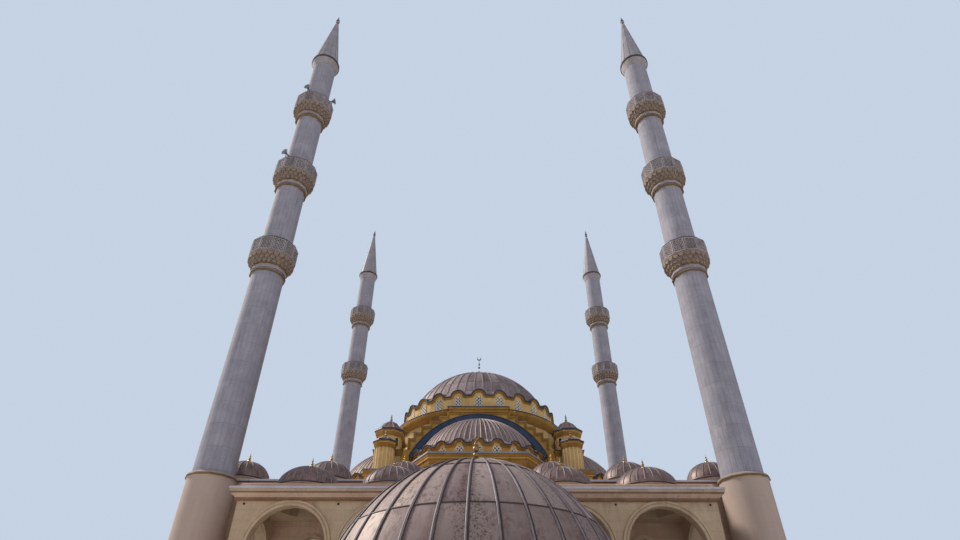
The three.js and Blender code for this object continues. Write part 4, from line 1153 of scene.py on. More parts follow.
# %% Edges of the stepped arches
STEP_HALF_WIDTHS = [2.32, 2.93, 3.63, 4.31, 4.84, 5.25]
STEP_CENTRE_Z, STEP_RADIUS, ARCH_TOP_Z, EDGE_OUT = 13.2, 6.8, 20.05, 0.1
PIER_INNER, PIER_OUTER, FRONT = 5.8, 7.8, -ARCH_FACE
PIER_STEP_Z = STEP_CENTRE_Z + sqrt(STEP_RADIUS ** 2 - PIER_INNER ** 2)
treads = [STEP_CENTRE_Z + sqrt(STEP_RADIUS ** 2 - half_width ** 2) for half_width in STEP_HALF_WIDTHS]
climb = [(STEP_HALF_WIDTHS[-1] + EDGE_OUT, PIER_STEP_Z)]
for half_width, inner, tread in zip(STEP_HALF_WIDTHS[:0:-1], STEP_HALF_WIDTHS[-2::-1], treads[:0:-1]):
    climb += [(half_width + EDGE_OUT, tread), (inner + EDGE_OUT, tread)]
climb.append((STEP_HALF_WIDTHS[0] + EDGE_OUT, ARCH_TOP_Z - 0.35))
edge = [(-0.2, -0.02), (-0.2, 0.05), (-0.1, 0.06), (-0.08, 0.11), (0.01, 0.13), (0.02, 0.09), (0.02, -0.02)]
right_edge = sweep([(x, FRONT, z) for x, z in climb], edge, (0, -1, 0), False)
left_edge = sweep([(-x, FRONT, z) for x, z in climb[::-1]], edge, (0, -1, 0), False)
treads_lead = Shape()
for half_width, inner, tread in zip(STEP_HALF_WIDTHS[1:], STEP_HALF_WIDTHS, treads[1:]):
    outer = half_width + EDGE_OUT + 0.03
    for low, high in ((inner, outer), (-outer, -inner)):
        treads_lead += block(low, high, FRONT - 0.13, FRONT + 1.2, tread + 0.005, tread + 0.04)
top_bands = wall_bands(ARCH_FACE, 0.1, [(-2.38, 2.38, 0.2, ARCH_TOP_Z - 0.17, ARCH_TOP_Z),
                                        (-2.33, 2.33, 0.12, ARCH_TOP_Z - 0.41, ARCH_TOP_Z - 0.17)])
top_line = wall_bands(ARCH_FACE, 0.1, [(-2.3, 2.3, 0.07, ARCH_TOP_Z - 0.55, ARCH_TOP_Z - 0.49)])
cover = wall_bands(ARCH_FACE, 0.6, [(-2.44, 2.44, 0.23, ARCH_TOP_Z, ARCH_TOP_Z + 0.07)])
piece("arch_step_edges", four_sides(right_edge + left_edge + top_line), ochre_plaster)
piece("arch_top_cornices", four_sides(top_bands), ochre_plaster)
piece("arch_step_leads", four_sides(treads_lead + cover), dark_metal_edge)

# %% [markdown]
# A broad band of sheet lead covers the back of each half dome where it meets the great arch. It is
# an arch lying against the wall, with a rolled edge on its outer side.

# %% Lead bands on the great arches
BAND_CENTRE, BAND_OUTER, BAND_INNER, BAND_FOOT = 13.69, 5.68, 5.06, 16.1
first_angle = asin((BAND_FOOT - BAND_CENTRE) / BAND_OUTER)
outside = arc((0, BAND_CENTRE), BAND_OUTER + 0.02, first_angle, pi - first_angle, 40)
last_angle = asin((BAND_FOOT - half["centre"]) / BAND_INNER)
inside = arc((0, half["centre"]), BAND_INNER, pi - last_angle, last_angle, 40)
band = prism(outside + inside, -ARCH_FACE - 0.37, -ARCH_FACE + 0.01, "y")
curve = [(x, -ARCH_FACE, z) for x, z in outside]
rolls = sweep(curve, arc((0, 0.36), 0.05, 0, TURN, 8)[:-1], (0, -1, 0), False)
piece("arch_lead_bands", four_sides(band), band_lead)
piece("arch_lead_rolls", four_sides(rolls), dark_metal_edge, radians(50))

# %% [markdown]
# The square piers and the buttresses in front of them end in shallow mouldings under a folded
# metal cover, which carries the turrets.

# %% Cornices of the piers and buttresses
PIER_TOP_Z, BUTTRESS_TOP_Z, PIER_CORNICE = 16.58, 14.5, 0.42
CORNERS = [(sx, sy) for sx in (-1, 1) for sy in (-1, 1)]


def corner_rectangle(sx, sy, x0, x1, y0, y1):
    return rectangle(*sorted((sx * x0, sx * x1)), *sorted((sy * y0, sy * y1)))


pier_parts, pier_edges, buttress_edges = Shape(), Shape(), Shape()
for sx, sy in CORNERS:
    ledge = corner_rectangle(sx, sy, PIER_INNER, PIER_OUTER, PIER_INNER, PIER_OUTER)
    pier_parts += along_plan(ledge, PIER_TOP_Z, cornice(PIER_CORNICE, 0.11))
    pier_edges += along_plan(ledge, PIER_TOP_Z, metal_strip(0.13, 0.05, 0.4))
    ledge = corner_rectangle(sx, sy, 5.62, 8.03, 7.7, 9.83)
    pier_parts += along_plan(ledge, BUTTRESS_TOP_Z, cornice(PIER_CORNICE, 0.06))
    buttress_edges += along_plan(ledge, BUTTRESS_TOP_Z, metal_strip(0.07, 0.08, 0.5))
piece("pier_cornices", pier_parts, ochre_plaster)
piece("pier_edges", pier_edges, dark_metal_edge)
piece("buttress_edges", buttress_edges, blue_grey_metal)

# %% [markdown]
# The roofs carry rows of small domes, all alike. One is drawn with its ribs, its drum and its gilded
# finial, and the tree that copies onto points sets it on every place of the set-out.

# %% Small domes of the roofs
def bead(radius, height):
    """Profile of a small ball threaded on an upright spike."""
    return [(radius * sin(t) + 0.004, height - radius * cos(t))
            for t in [pi * i / 6 for i in range(7)]]


def finial(crown, foot, tip, balls, spike):
    """A spike with threaded balls, each a (radius, height). All its heights are above the crown."""
    profile = [(0.001, foot), (spike * 1.6, foot)]
    for radius, height in balls:
        profile += bead(radius, height)
    profile += [(spike, balls[-1][1] + balls[-1][0] + 0.01), (0.001, tip)]
    return lathe(profile, 12, closed=False).moved(z=crown)


def small_dome(radius, spring, rise, foot, ribs):
    """The layers of one small dome, round its own axis."""
    def curve(shares, lift=0.0):
        angles = [TURN / 4 * share for share in shares]
        return [(radius * cos(t), spring + rise * sin(t) + lift) for t in angles]

    crown = spring + rise
    cap = shifted([(-0.2, -0.01), (0.05, -0.01), (0.06, 0.02), (0, 0.06)], radius, spring)
    cap += curve([i / 12 for i in range(1, 12)]) + [(0.001, crown), (0.001, crown - 0.1)]
    spine = rolled_seams(curve([(0.4 + 0.55 * i) / 6 for i in range(11)], 0.005), 0.03, ribs)
    drum = shifted([(-0.06, 0), (0.03, 0), (0.03, 0.1), (-0.02, 0.16)], radius, foot)
    drum += shifted([(-0.02, -0.16), (0.05, -0.1), (0.05, -0.03), (-0.06, -0.03)], radius, spring)
    eave = shifted([(-0.05, -0.05), (0.09, -0.05), (0.1, -0.02), (0.05, 0.01), (-0.05, 0.01)], radius, spring)
    balls = [(0.11, 0.06), (0.075, 0.24), (0.05, 0.38)]
    return [("caps", lathe(cap, 32), cap_lead, LEAD),
            ("ribs", spine, seam_lead, LEAD),
            ("drums", lathe(drum, 32), moulding_stone, PORTICO_STONE),
            ("finials", finial(crown, -0.06, 0.62, balls, 0.025), gilding, LEAD),
            ("eaves", lathe(eave, 32), dark_metal_edge, LEAD)]


row = [bay * BAY for bay in BAYS]
long_row = [*row, -SMALL_DOME_ROW, SMALL_DOME_ROW]
places = [(x, side * SMALL_DOME_ROW, 0, 0) for side in (-1, 1) for x in long_row]
places += [(side * SMALL_DOME_ROW, y, 0, 0) for side in (-1, 1) for y in row]
set_layers("hall_dome", small_dome(radius=1.45, spring=12.3, rise=1.2, foot=11.5, ribs=20), places)
places = [(x, PORTICO_DOME_Y, 0, 0) for x in row]
small = small_dome(radius=1.65, spring=10.73, rise=1.15, foot=PORTICO_ROOF_Z, ribs=24)
set_layers("portico_dome", small, places)
kerb = rectangle(-PORTICO, PORTICO, -PORTICO_Y, -HALL)
kerb_section = [(-0.3, 0), (0, 0), (0.01, 0.24), (-0.06, 0.28), (-0.3, 0.28)]
mouldings("portico", kerb, PORTICO_ROOF_Z + 0.02, [("kerb", kerb_section, pink_plaster, PORTICO_STONE)])
print(len(places), "domes on the portico")

# %% [markdown]
# The large finials are darkened copper: balls of falling size on a spike. Both end in an open
# crescent, as is usual, and stand on a flat round cap.

# %% Large finials
def crescent(crown, outer, inner, thickness, steps):
    """Two arcs about an upright line, each a height above the crown, a radius and a half angle."""
    outside = arc((0, crown + outer[0]), outer[1], -TURN / 4 - outer[2], -TURN / 4 + outer[2], steps)
    inside = arc((0, crown + inner[0]), inner[1], -TURN / 4 + inner[2], -TURN / 4 - inner[2], steps)
    return prism(outside + inside, -thickness / 2, thickness / 2, "y")


CROWN, PAVILION_CROWN = 26.2, 8.83
stem = finial(CROWN, -0.1, 2.05, [(0.11, 0.31), (0.18, 0.66), (0.1, 1.25), (0.08, 1.56)], 0.045)
stem += crescent(CROWN, (2.22, 0.19, 2.4), (2.27, 0.145, 2.25), 0.06, 24)
piece("main_finial", stem, dark_balls)
crown_cap = [(0.001, -0.05), (0.62, -0.05), (0.6, 0), (0.3, 0.07), (0.2, 0.1), (0.001, 0.1)]
piece("main_dome_crown", lathe(shifted(crown_cap, 0, CROWN), 32, closed=False), seam_lead)
stem = finial(PAVILION_CROWN, -0.06, 1.02, [(0.15, 0.16), (0.11, 0.42), (0.13, 0.66), (0.07, 0.86)], 0.04)
stem += crescent(PAVILION_CROWN, (1.14, 0.12, 2.5), (1.17, 0.085, 2.35), 0.04, 20)
piece("pavilion_finial", stem.moved(y=PAVILION_Y), old_copper)
crown_cap = [(0.001, -0.05), (0.42, -0.04), (0.4, 0.03), (0.2, 0.08), (0.001, 0.08)]
crown_cap = lathe(shifted(crown_cap, 0, PAVILION_CROWN), 32, closed=False)
piece("pavilion_crown", crown_cap.moved(y=PAVILION_Y), seam_lead)

# %% [markdown]
# The turrets are eight-sided and weigh down the piers. Each gets a peaked and ribbed lead cap over
# a thin dark eave, with small balls on its tip. The tall ones have a small arched niche on every
# face and the low ones upright strips.

# %% Turrets
def turret_layers(radius, eave_radius, foot, eave, crown, tip, strips):
    """The layers of a turret round its own axis. Strips stand on its faces, or else niches."""
    sides = 8
    rise = crown - eave
    slope = [(eave_radius + 0.01, eave + 0.1), (eave_radius * 0.7, eave + 0.36 * rise),
             (eave_radius * 0.42, eave + 0.78 * rise), (0.1, crown + 0.01)]
    cap = [(0.001, eave + 0.03), (eave_radius - 0.1, eave + 0.03), *slope, (0.001, crown + 0.06)]
    rim = [(-0.12, -0.02), (0.03, -0.02), (0.05, 0.02), (0.03, 0.09), (-0.12, 0.12)]
    spine = rolled_seams(slope[:-1], 0.022, sides, TURN / sides / 2)
    spine += rolled_seams([(r * 0.924, z) for r, z in slope[:-1]], 0.018, sides)
    corbel = shifted([(-0.04, -0.46), (0.04, -0.46), (0.05, -0.38), (0.1, -0.32)], radius, eave)
    corbel += shifted([(-0.06, -0.1), (0.01, -0.06), (0.01, -0.02)], eave_radius, eave)
    corbel += [(radius - 0.04, eave - 0.02)]
    base = [(-0.04, 0), (0.07, 0), (0.07, 0.12), (0.03, 0.18), (-0.04, 0.18)]
    flat = radius * cos(pi / sides)
    trims, recess = lathe(shifted(base, radius, foot), sides), Shape()
    if strips:
        strip = block(-0.045, 0.045, -flat - 0.04, -flat + 0.05, foot + 0.18, eave - 0.44)
        corner_strip = block(-0.05, 0.05, -radius - 0.02, -radius + 0.1, foot + 0.18, eave - 0.44)
        trims += ring(strip, sides) + ring(corner_strip, sides, first=TURN / sides / 2)
    else:
        sill, spring = foot + 0.5, foot + 0.92
        trims += ring(arched_surround(0.13, 0.18, sill, spring, flat - 0.02, flat + 0.04), sides)
        # each niche is a dark arched slab set on the face, painted shade in place of a recess
        recess = ring(prism(arched(0.13, sill, spring), -flat - 0.005, -flat + 0.02, "y"), sides)
    knob = finial(crown, 0, tip - crown, [(0.1, 0.14), (0.08, 0.34), (0.05, 0.48)], 0.025)
    return [("caps", lathe(cap, sides, closed=False), cap_lead, LEAD),
            ("rims", lathe(shifted(rim, eave_radius, eave), sides), dark_metal_edge, LEAD),
            ("cap_ribs", spine, seam_lead, LEAD),
            ("corbels", lathe(corbel, sides), ochre_plaster, PLASTER),
            ("trims", trims, pale_cream, PLASTER),
            ("niches", recess, glass_and_painted_shade, PLASTER),
            ("knobs", knob, old_copper, LEAD)]


tall_layers = turret_layers(radius=1.0, eave_radius=1.19, foot=16.6, eave=18.22, crown=19.2, tip=19.87,
                            strips=False)
low_layers = turret_layers(radius=0.72, eave_radius=0.91, foot=BUTTRESS_TOP_Z, eave=16.7, crown=17.22,
                           tip=17.7, strips=True)
for name, layers, x, y in (("tall_turret", tall_layers, 6.9, 6.9), ("low_turret", low_layers, 6.85, 8.9)):
    set_layers(name, layers, [(sx * x, sy * y, 0, 0) for sx, sy in CORNERS])

# %% [markdown]
# A balcony is drawn once round its own axis and copied to every collar of every shaft. From below
# it shows most: a thin ring, a light collar, three tiers of small pointed brackets that step
# outwards, and a pierced parapet under a dark coping. The shafts are drawn here as well, each with
# the solid floors and parapet walls of its balconies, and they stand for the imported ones.

# %% Minaret balconies
BALCONY_RADIUS, FLOOR_RISE, COPING_RISE = 1.6, 1.3, 2.56
LOW_COLLAR_Z, MIDDLE_COLLAR_Z, HIGH_COLLAR_Z = 25.64, 33.92, 42.37
COLLARS = {"front": (LOW_COLLAR_Z, MIDDLE_COLLAR_Z, HIGH_COLLAR_Z), "rear": (MIDDLE_COLLAR_Z, HIGH_COLLAR_Z)}
LOW_RADIUS, HIGH_RADIUS = 1.17, 1.03
DOOR_HALF_WIDTH, DOOR_SPRING = 0.35, 1.55


def bracket(width, low, high, inner, outer):
    """A small hanging prism with a pointed foot, from the inner to the outer radius."""
    rise = high - low
    outline = [(-width / 2, high), (-width / 2, low + 0.45 * rise), (0, low), (width / 2, low + 0.45 * rise),
               (width / 2, high)]
    return prism(outline, -outer, -inner, "y")


def balcony(shaft):
    """The layers of a balcony above a collar at height 0, for a shaft of the given radius."""
    s, around = MINARET_SIDES, 2 * MINARET_SIDES
    collar = [(-0.05, 0.14), (0.09, 0.14), (0.12, 0.2), (0.09, 0.27), (0.09, 0.42), (-0.05, 0.42)]
    low_ring = [(-0.05, -0.14), (0.08, -0.14), (0.13, -0.1), (0.13, -0.05), (0.08, -0.01), (-0.05, -0.01)]
    high_ring = [(0, 0.41), (0.16, 0.41), (0.17, 0.44), (0.15, 0.47), (0, 0.47)]
    thin_rings = lathe(shifted(low_ring, shaft, 0), s) + lathe(shifted(high_ring, shaft, 0), s)
    tiers = Shape()
    for low, high, outer, between in ((0.46, 0.78, 1.28, 0), (0.7, 1.04, 1.44, 0.5), (0.94, 1.28, 1.59, 0)):
        width = TURN * outer / around * 0.86
        tiers += ring(bracket(width, low, high, shaft - 0.03, outer), around, first=between * TURN / around)
    tiers += lathe([(shaft - 0.05, 0.44), (shaft + 0.03, 0.44), (BALCONY_RADIUS, FLOOR_RISE - 0.02),
                    (shaft - 0.05, FLOOR_RISE - 0.02)], s)
    floor_edge = shifted([(0.04, -0.06), (0.06, 0.02), (0.01, 0.08)], BALCONY_RADIUS, FLOOR_RISE)
    tiers += lathe([(shaft, FLOOR_RISE - 0.08), *floor_edge, (shaft, FLOOR_RISE + 0.08)], s)
    half_side = BALCONY_RADIUS * sin(pi / s)
    low, high = FLOOR_RISE + 0.1, COPING_RISE - 0.12
    field = rectangle(0.07 - half_side, half_side - 0.07, low, high)
    flat = -BALCONY_RADIUS * cos(pi / s)
    bars = lattice(field, 0.15, 0.06, 0.05).moved(y=flat - 0.02)
    for x in (0.045 - half_side, half_side - 0.045):
        bars += block(x - 0.04, x + 0.04, flat - 0.06, flat + 0.02, low - 0.04, high + 0.06)
    for z in (low - 0.04, high - 0.03):
        bars += block(0.05 - half_side, half_side - 0.05, flat - 0.055, flat + 0.02, z, z + 0.09)
    hollow = prism(field, flat - 0.012, flat + 0.01, "y")
    coping = [(-0.2, -0.1), (0.05, -0.11), (0.07, -0.06), (0.03, 0), (-0.2, 0)]
    coping = shifted(coping, BALCONY_RADIUS, COPING_RISE)
    return [("collars", lathe(shifted(collar, shaft, 0), s), balcony_stone, MINARET_STONE),
            ("thin_rings", thin_rings, old_ochre, MINARET_STONE),
            ("brackets", tiers, bracket_stone, MINARET_STONE),
            ("lattices", ring(bars, s), balcony_stone, MINARET_STONE),
            ("hollows", ring(hollow, s), pierced_shade, MINARET_STONE),
            ("copings", lathe(coping, s), coping_stone, MINARET_STONE)]


def shaft_profile(collars):
    """The outline of a minaret from its pedestal to the eave, drawn with its parapet walls."""
    profile = [(0.001, 0), (1.34, 0), (1.34, PEDESTAL_TOP - 0.16), (1.4, PEDESTAL_TOP - 0.12),
               (1.4, PEDESTAL_TOP), (LOW_RADIUS, SHAFT_FOOT)]
    outer, inner = BALCONY_RADIUS - 0.01, BALCONY_RADIUS - 0.14
    for z in collars:
        shaft, floor_z, wall_top = shaft_radius(z), z + FLOOR_RISE, z + COPING_RISE - 0.05
        profile += [(shaft, z - 0.16), (shaft + 0.06, z - 0.08), (shaft, z), (shaft, z + 0.45)]
        profile += [(outer, floor_z), (outer, wall_top), (inner, wall_top), (inner, floor_z + 0.1)]
        profile += [(shaft, floor_z + 0.1)]
    return profile + [(HIGH_RADIUS, SHAFT_TOP), (0.001, SHAFT_TOP)]


def shaft_radius(z):
    """The shafts taper evenly from their foot to the eave of the spire."""
    return LOW_RADIUS + (HIGH_RADIUS - LOW_RADIUS) * (z - SHAFT_FOOT) / (SHAFT_TOP - SHAFT_FOOT)


balcony_stone = plain_finish("balcony_stone", [(168, 160, 162), (148, 140, 144), (96, 84, 82)], 0.85,
                             patch=0.3, run=0.06, stains=0.8)
bracket_stone = plain_finish("bracket_stone", [(150, 134, 122), (136, 120, 108), (90, 74, 64)], 0.9,
                             patch=0.2, run=0.05, stains=0.9)
pierced_shade = plain_finish("pierced_shade", [(84, 78, 78), (66, 60, 62), (44, 40, 40)], 0.9)
coping_stone = plain_finish("coping_stone", [(70, 62, 64), (56, 50, 54), (40, 34, 34)], 0.7)
balcony_places, doorways = [], []
for corner, (x, y) in MINARETS.items():
    collars = COLLARS[corner.split("_")[0]]
    balcony_places += [(x, y, z, 0) for z in collars]
    shaft = lathe(shaft_profile(collars), MINARET_SIDES, closed=False)
    for z in collars:
        sill = z + FLOOR_RISE + 0.12
        flat = shaft_radius(z) * cos(pi / MINARET_SIDES)
        # each doorway is a dark arched slab on the shaft, painted shade in place of an opening
        doorway = prism(arched(DOOR_HALF_WIDTH, sill, sill + DOOR_SPRING), -flat - 0.02, -flat + 0.1, "y")
        doorways.append(doorway.turned(TURN / 2).moved(x, y))
    body = piece("minaret_body_" + corner, shaft.moved(x, y), shaft_stones[corner])
    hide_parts("minaret_" + corner)
piece("balcony_doorways", together(doorways), glass_and_painted_shade)
set_layers("balcony", balcony(shaft=1.12), balcony_places)

# %% [markdown]
# Three horn loudspeakers stand on the parapets of the front left minaret. A horn is a turned bell on
# a short post.

# %% Loudspeakers
horn = lathe([(0.02, -0.3), (0.07, -0.3), (0.07, -0.16), (0.05, -0.12), (0.09, 0.0), (0.17, 0.13),
              (0.27, 0.22), (0.28, 0.24), (0.25, 0.235), (0.15, 0.14), (0.04, 0.02), (0.02, 0.02)], 20)
horn = horn.turned(TURN / 4, "X") + block(-0.02, 0.02, -0.02, 0.02, -0.5, -0.05)
left_x, left_y = MINARETS["front_left"]
horn_places = []
reach, post = BALCONY_RADIUS - 0.05, COPING_RISE + 0.49
for z, degrees in ((HIGH_COLLAR_Z, -12), (HIGH_COLLAR_Z, 86), (MIDDLE_COLLAR_Z, -22)):
    angle = radians(degrees)
    horn_places.append((left_x + reach * sin(angle), left_y - reach * cos(angle), z + post, angle))
horn_grey = plain_finish("horn_grey", [(132, 132, 140), (112, 112, 120), (78, 74, 74)], 0.5)
copies("loudspeakers", horn, horn_grey, horn_places)

# %% [markdown]
# The shafts end in tall cones sheathed in sheet metal, with a ring at the eave, upright seams and a
# small finial. The pedestals have a moulding where they pass the hall's parapet.

# %% Spires and pedestals
spire_metal = plain_finish("spire_metal", [(172, 168, 176), (152, 148, 156), (104, 98, 98)], 0.55, 0.2,
                           0.4, 0.08)
cone = [(1.0, 51.1), (1.3, 51.16), (1.15, 51.34), (0.145, 58.5), (0.1, 58.5)]
flare = [(1.0, 50.2), (1.04, 50.2), (1.22, 50.84), (1.24, 50.94), (1.0, 50.94)]
eave = [(1.0, 50.93), (1.28, 50.93), (1.31, 50.98), (1.3, 51.08), (1.0, 51.1)]
spine = rolled_seams([(1.16, 51.36), (0.16, 58.4)], 0.018, MINARET_SIDES)
spike = finial(58.4, 0, 1.6, [(0.14, 0.25), (0.2, 0.55), (0.12, 0.9), (0.08, 1.12)], 0.025)
pedestal_ring = [(1.3, 11.44), (1.41, 11.45), (1.43, 11.5), (1.41, 11.56), (1.3, 11.57)]
shaft_ring = [(1.1, PEDESTAL_TOP), (1.38, PEDESTAL_TOP), (1.36, 11.63), (1.24, 11.72), (1.1, SHAFT_FOOT)]
shaft_places = [(x, y, 0, 0) for x, y in MINARETS.values()]
for name, shape, finish in (("spire_cones", lathe(cone, 24), spire_metal),
                            ("spire_eaves", lathe(eave, 24), coping_stone),
                            ("spire_flares", lathe(flare, 24), balcony_stone),
                            ("spire_seams", spine, spire_metal),
                            ("spire_finials", spike, dark_balls),
                            ("pedestal_rings", lathe(pedestal_ring, MINARET_SIDES), old_ochre),
                            ("shaft_rings", lathe(shaft_ring, MINARET_SIDES), balcony_stone)):
    copies(name, shape, finish, shaft_places)

# %% [markdown]
# The portico and the hall have long level mouldings. Their paths follow the plan, and the hall's
# parapet ends in a folded metal strip that shows from below as a thin pale line.

# %% Mouldings of the portico and the hall
def folded_cover(out, drop, back):
    """Section of a metal cover that folds down over an edge, from its back to its drip."""
    return [(-back, 0), (out - 0.04, 0), (out - 0.04, -drop), (out, -drop), (out + 0.01, 0.03),
            (out - 0.03, 0.05), (-back, 0.06)]


side, front, behind = PORTICO + PORTICO_EAVES, PORTICO_Y + PORTICO_EAVES, HALL + 0.3
eaves = [(-side, -behind), (-side, -front), (side, -front), (side, -behind)]
shadow_line = [(-0.43, -0.1), (-0.03, -0.1), (-0.03, -0.06), (-0.43, -0.06)]
upper_band = [(-0.43, -0.27), (-0.06, -0.27), (-0.02, -0.2), (0, -0.1), (-0.43, -0.1)]
hollow = [(-0.43, -0.43), (-0.24, -0.43), (-0.2, -0.37), (-0.1, -0.31), (-0.07, -0.27), (-0.43, -0.27)]
lower_band = [(-0.43, -0.54), (-0.28, -0.54), (-0.26, -0.49), (-0.24, -0.43), (-0.43, -0.43)]
ochre_line = [(-0.43, -0.58), (-0.27, -0.58), (-0.25, -0.56), (-0.27, -0.54), (-0.43, -0.54)]
mouldings("portico", eaves, PORTICO_ROOF_Z, [
    ("coping", folded_cover(0.03, 0.06, 0.5), lilac_metal, LEAD),
    ("shadow_line", shadow_line, dark_metal_edge, LEAD),
    ("upper_band", upper_band, kerb_stone, PLASTER),
    ("cornice", hollow, pink_plaster, PORTICO_STONE),
    ("lower_band", lower_band, kerb_stone, PLASTER),
    ("ochre_line", ochre_line, brown_ochre, PLASTER)], False)
DRAIN_Z, DRAIN_RADIUS = 9.4, 0.055
# the drain holes are dark discs on the wall, painted shade in place of holes
spout = prism(arc((0, DRAIN_Z), DRAIN_RADIUS, 0, TURN, 12)[:-1], -PORTICO_Y - 0.03, -PORTICO_Y + 0.05, "y")
spouts = together([spout.moved(x=x) for x in (-11.6, -6.9, -2.3, 2.3, 6.9, 11.6)])
piece("portico_drain_holes", spouts, glass_and_painted_shade)
hall_line = rectangle(-HALL, HALL, -HALL, HALL)
fascia = [(-0.05, -0.8), (0.05, -0.8), (0.07, -0.74), (0.07, -0.56), (0.04, -0.5), (-0.05, -0.5)]
string_course = [(-0.05, -0.16), (0.06, -0.16), (0.11, -0.08), (0.11, 0.04), (0.05, 0.1), (-0.05, 0.1)]
mouldings("hall", hall_line, PARAPET_Z, [("coping", folded_cover(0.27, 0.06, 0.32), lilac_metal, LEAD),
                                         ("cornice", cornice(0.5, 0.24), old_ochre, PLASTER),
                                         ("fascia", fascia, pink_plaster, PLASTER)])
mouldings("hall", hall_line, STOREY_Z, [("string_course", string_course, moulding_stone, PLASTER)])

# %% [markdown]
# Every arch is framed by an archivolt: two rounded bands and a groove, carried round the curve.
# The portico has five in front and one at each end, and the pavilion has one on each of its sides.

# %% Archivolts
def archivolt(radius, spring, wall, width=0.25):
    """A moulding round an arch in a wall that faces -Y, on the wall's outer plane."""
    path = [(x, -wall, z) for x, z in arc((0, spring), radius, 0, pi, 28)]
    section = [(-0.03, -0.4), (-0.03, 0.05), (0.02, 0.075), (0.3 * width, 0.06), (0.38 * width, 0.025),
               (0.5 * width, 0.025), (0.58 * width, 0.08), (0.9 * width, 0.09), (width, 0.05), (width, -0.05),
               (0.02, -0.05), (0.02, -0.4)]
    return sweep(path, section, (0, -1, 0), False)


arch = archivolt(ARCADE_ARCH, ARCADE_SPRING_Z, PORTICO_Y)
front_arches = together([arch.moved(x=bay * BAY) for bay in BAYS])
END_ARCH, PAVILION_ARCH, PAVILION_SPRING_Z = 1.7, 1.45, 1.85
end_arch = archivolt(END_ARCH, ARCADE_SPRING_Z + 0.05, PORTICO)
end_middle = -HALL - 0.35 - END_ARCH
ends = end_arch.turned(TURN / 4).moved(y=end_middle) + end_arch.turned(-TURN / 4).moved(y=end_middle)
piece("portico_archivolts", front_arches + ends, moulding_stone)
arches = ring(archivolt(PAVILION_ARCH, PAVILION_SPRING_Z, PAVILION, 0.2), 8)
octagon = polygon(8, PAVILION, (0, PAVILION_Y))
corner_out = PAVILION / cos(pi / 8)
pilaster = wall_bands(corner_out, 0.2, [(-0.16, 0.16, 0.03, 0.32, 3.4), (-0.22, 0.22, 0.07, 0.32, 0.6),
                                        (-0.2, 0.2, 0.06, 3.2, 3.38)])
pilasters = ring(pilaster, 8, first=TURN / 16)
piece("pavilion_archivolts", arches.moved(y=PAVILION_Y), moulding_stone)
mouldings("pavilion", octagon, PAVILION_EAVE_Z, [
    ("cornice", cornice(0.5, 0.27), moulding_stone, PORTICO_STONE),
    ("coping", metal_strip(0.31, 0.06, 0.1), blue_grey_metal, LEAD)])
piece("pavilion_pilasters", pilasters.moved(y=PAVILION_Y), moulding_stone)

# %% [markdown]
# The portico columns are round shafts of pale stone on moulded bases, and their capitals widen in
# three rings of small brackets up to a square block that carries the arches.

# %% Columns
column = lathe([(0.2, 0.64), (0.37, 0.64), (0.38, 0.74), (0.33, 0.8), (0.36, 0.86), (0.37, 0.94), (0.3, 1.0),
                (0.28, 1.1), (0.265, 6.6), (0.29, 6.62), (0.3, 6.66), (0.28, 6.7), (0.2, 6.7)], 28)
capital = lathe([(0.2, 6.66), (0.29, 6.7), (0.33, 6.9), (0.4, 7.16), (0.42, 7.2), (0.2, 7.2)], 24)
for low, high, outer in ((6.7, 6.9, 0.36), (6.84, 7.04, 0.42), (6.98, 7.18, 0.47)):
    capital += ring(bracket(TURN * outer / 16 * 0.9, low, high, 0.2, outer), 16)
capital += block(-0.42, 0.42, -0.32, 0.32, 7.18, 7.4)
plinth_block = block(-0.42, 0.42, -0.42, 0.42, 0.605, 0.66)
COLUMN_SETBACK = 0.375
column_places = [((i - 2.5) * BAY, COLUMN_SETBACK - PORTICO_Y, 0, 0) for i in range(6)]
set_layers("portico", [("columns", column + plinth_block, moulding_stone, PORTICO_STONE),
                       ("capitals", capital, moulding_stone, PORTICO_STONE)], column_places)

# %% [markdown]
# The hall has five bays of windows on every side: arched ones above and square ones below, except
# where the doorway is. A drawn window is set on each place with its turn.

# %% Windows of the hall
wall_places = {}
for side, turn in SIDE_TURNS.items():
    for bay in BAYS:
        spot = Matrix.Rotation(turn, 3, "Z") @ Vector((bay * BAY, -HALL, 0))
        wall_places[side, bay] = (spot.x, spot.y, 0, turn)

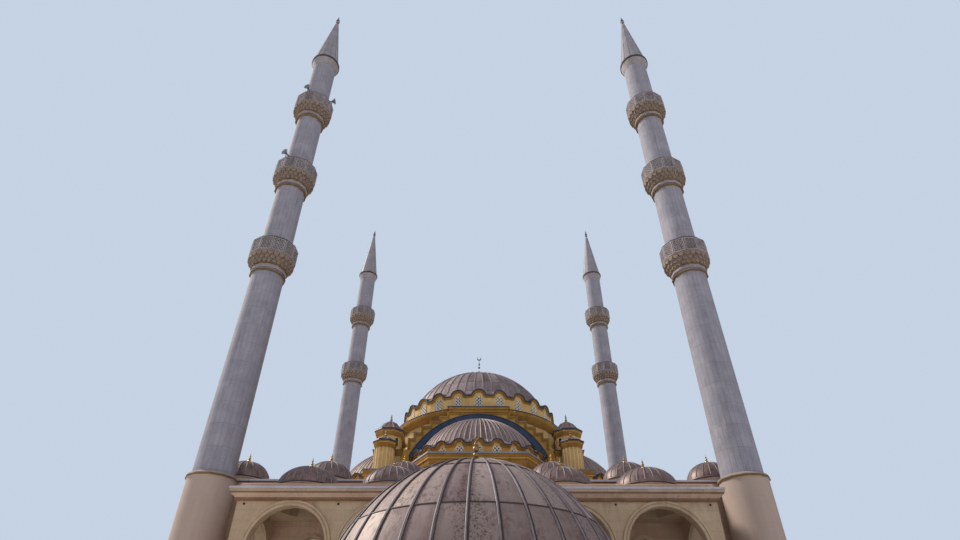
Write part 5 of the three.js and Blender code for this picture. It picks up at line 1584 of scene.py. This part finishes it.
iron = plain_finish("iron_grille", [(74, 74, 80), (58, 58, 64), (70, 50, 40)], 0.6, 0.4)
WINDOW, PANE = 0.7, (0.42, 0.45)
HIGH_SILL_Z, HIGH_SPRING_Z, LOW_SILL_Z, LOW_HEAD_Z = 6.0, 8.1, 1.8, 4.2
outline = arched(WINDOW - 0.01, HIGH_SILL_Z + 0.01, HIGH_SPRING_Z, 14)
surround = arched_surround(WINDOW - 0.02, WINDOW + 0.16, HIGH_SILL_Z - 0.02, HIGH_SPRING_Z, -0.02, 0.07, 14)
surround += wall_bands(0, 0.02, [(-0.95, 0.95, 0.14, HIGH_SILL_Z - 0.16, HIGH_SILL_Z - 0.01)])
inner_frame = arched_surround(WINDOW - 0.1, WINDOW - 0.01, HIGH_SILL_Z + 0.02, HIGH_SPRING_Z, -0.4, -0.3, 14)
bars = lattice(outline, 0.24, 0.05, 0.05).moved(y=0.34)
set_layers("high_window", [("surrounds", surround, moulding_stone, PLASTER),
                           ("lattices", bars + inner_frame, white_lattice, PLASTER),
                           ("panes", prism(outline, *PANE, "y"), glass_and_painted_shade, LEAD)],
           list(wall_places.values()))
outline = rectangle(0.01 - WINDOW, WINDOW - 0.01, LOW_SILL_Z + 0.01, LOW_HEAD_Z - 0.01)
surround = wall_bands(0, 0.02, [(-0.88, -0.69, 0.07, LOW_SILL_Z - 0.1, LOW_HEAD_Z + 0.1),
                                (0.69, 0.88, 0.07, LOW_SILL_Z - 0.1, LOW_HEAD_Z + 0.1),
                                (-0.96, 0.96, 0.12, LOW_HEAD_Z - 0.02, LOW_HEAD_Z + 0.22),
                                (-0.96, 0.96, 0.14, LOW_SILL_Z - 0.2, LOW_SILL_Z)])
grille = lattice(outline, 0.23, 0.035, 0.035, (0, 90)).moved(y=0.2)
set_layers("low_window", [("surrounds", surround, moulding_stone, PLASTER),
                          ("grilles", grille, iron, LEAD),
                          ("panes", prism(outline, *PANE, "y"), glass_and_painted_shade, LEAD)],
           [place for bay, place in wall_places.items() if bay != ("front", 0)])

# %% [markdown]
# The doorway is framed by a plain arch and two strips that carry a lintel course.

# %% Doorway
DOORWAY, DOORWAY_SPRING_Z, LINTEL_Z, THRESHOLD_Z = 1.3, 3.9, 6.1, 0.61
door_frame = arched_surround(DOORWAY, 1.72, THRESHOLD_Z + 0.01, DOORWAY_SPRING_Z, HALL - 0.02, HALL + 0.12,
                             20)
door_frame += wall_bands(HALL, 0.02, [(-2.2, -1.85, 0.18, THRESHOLD_Z, LINTEL_Z),
                                      (1.85, 2.2, 0.18, THRESHOLD_Z, LINTEL_Z),
                                      (-2.3, 2.3, 0.24, LINTEL_Z, LINTEL_Z + 0.3),
                                      (-2.2, 2.2, 0.16, LINTEL_Z - 0.3, LINTEL_Z)])
piece("doorway_surround", door_frame, moulding_stone)
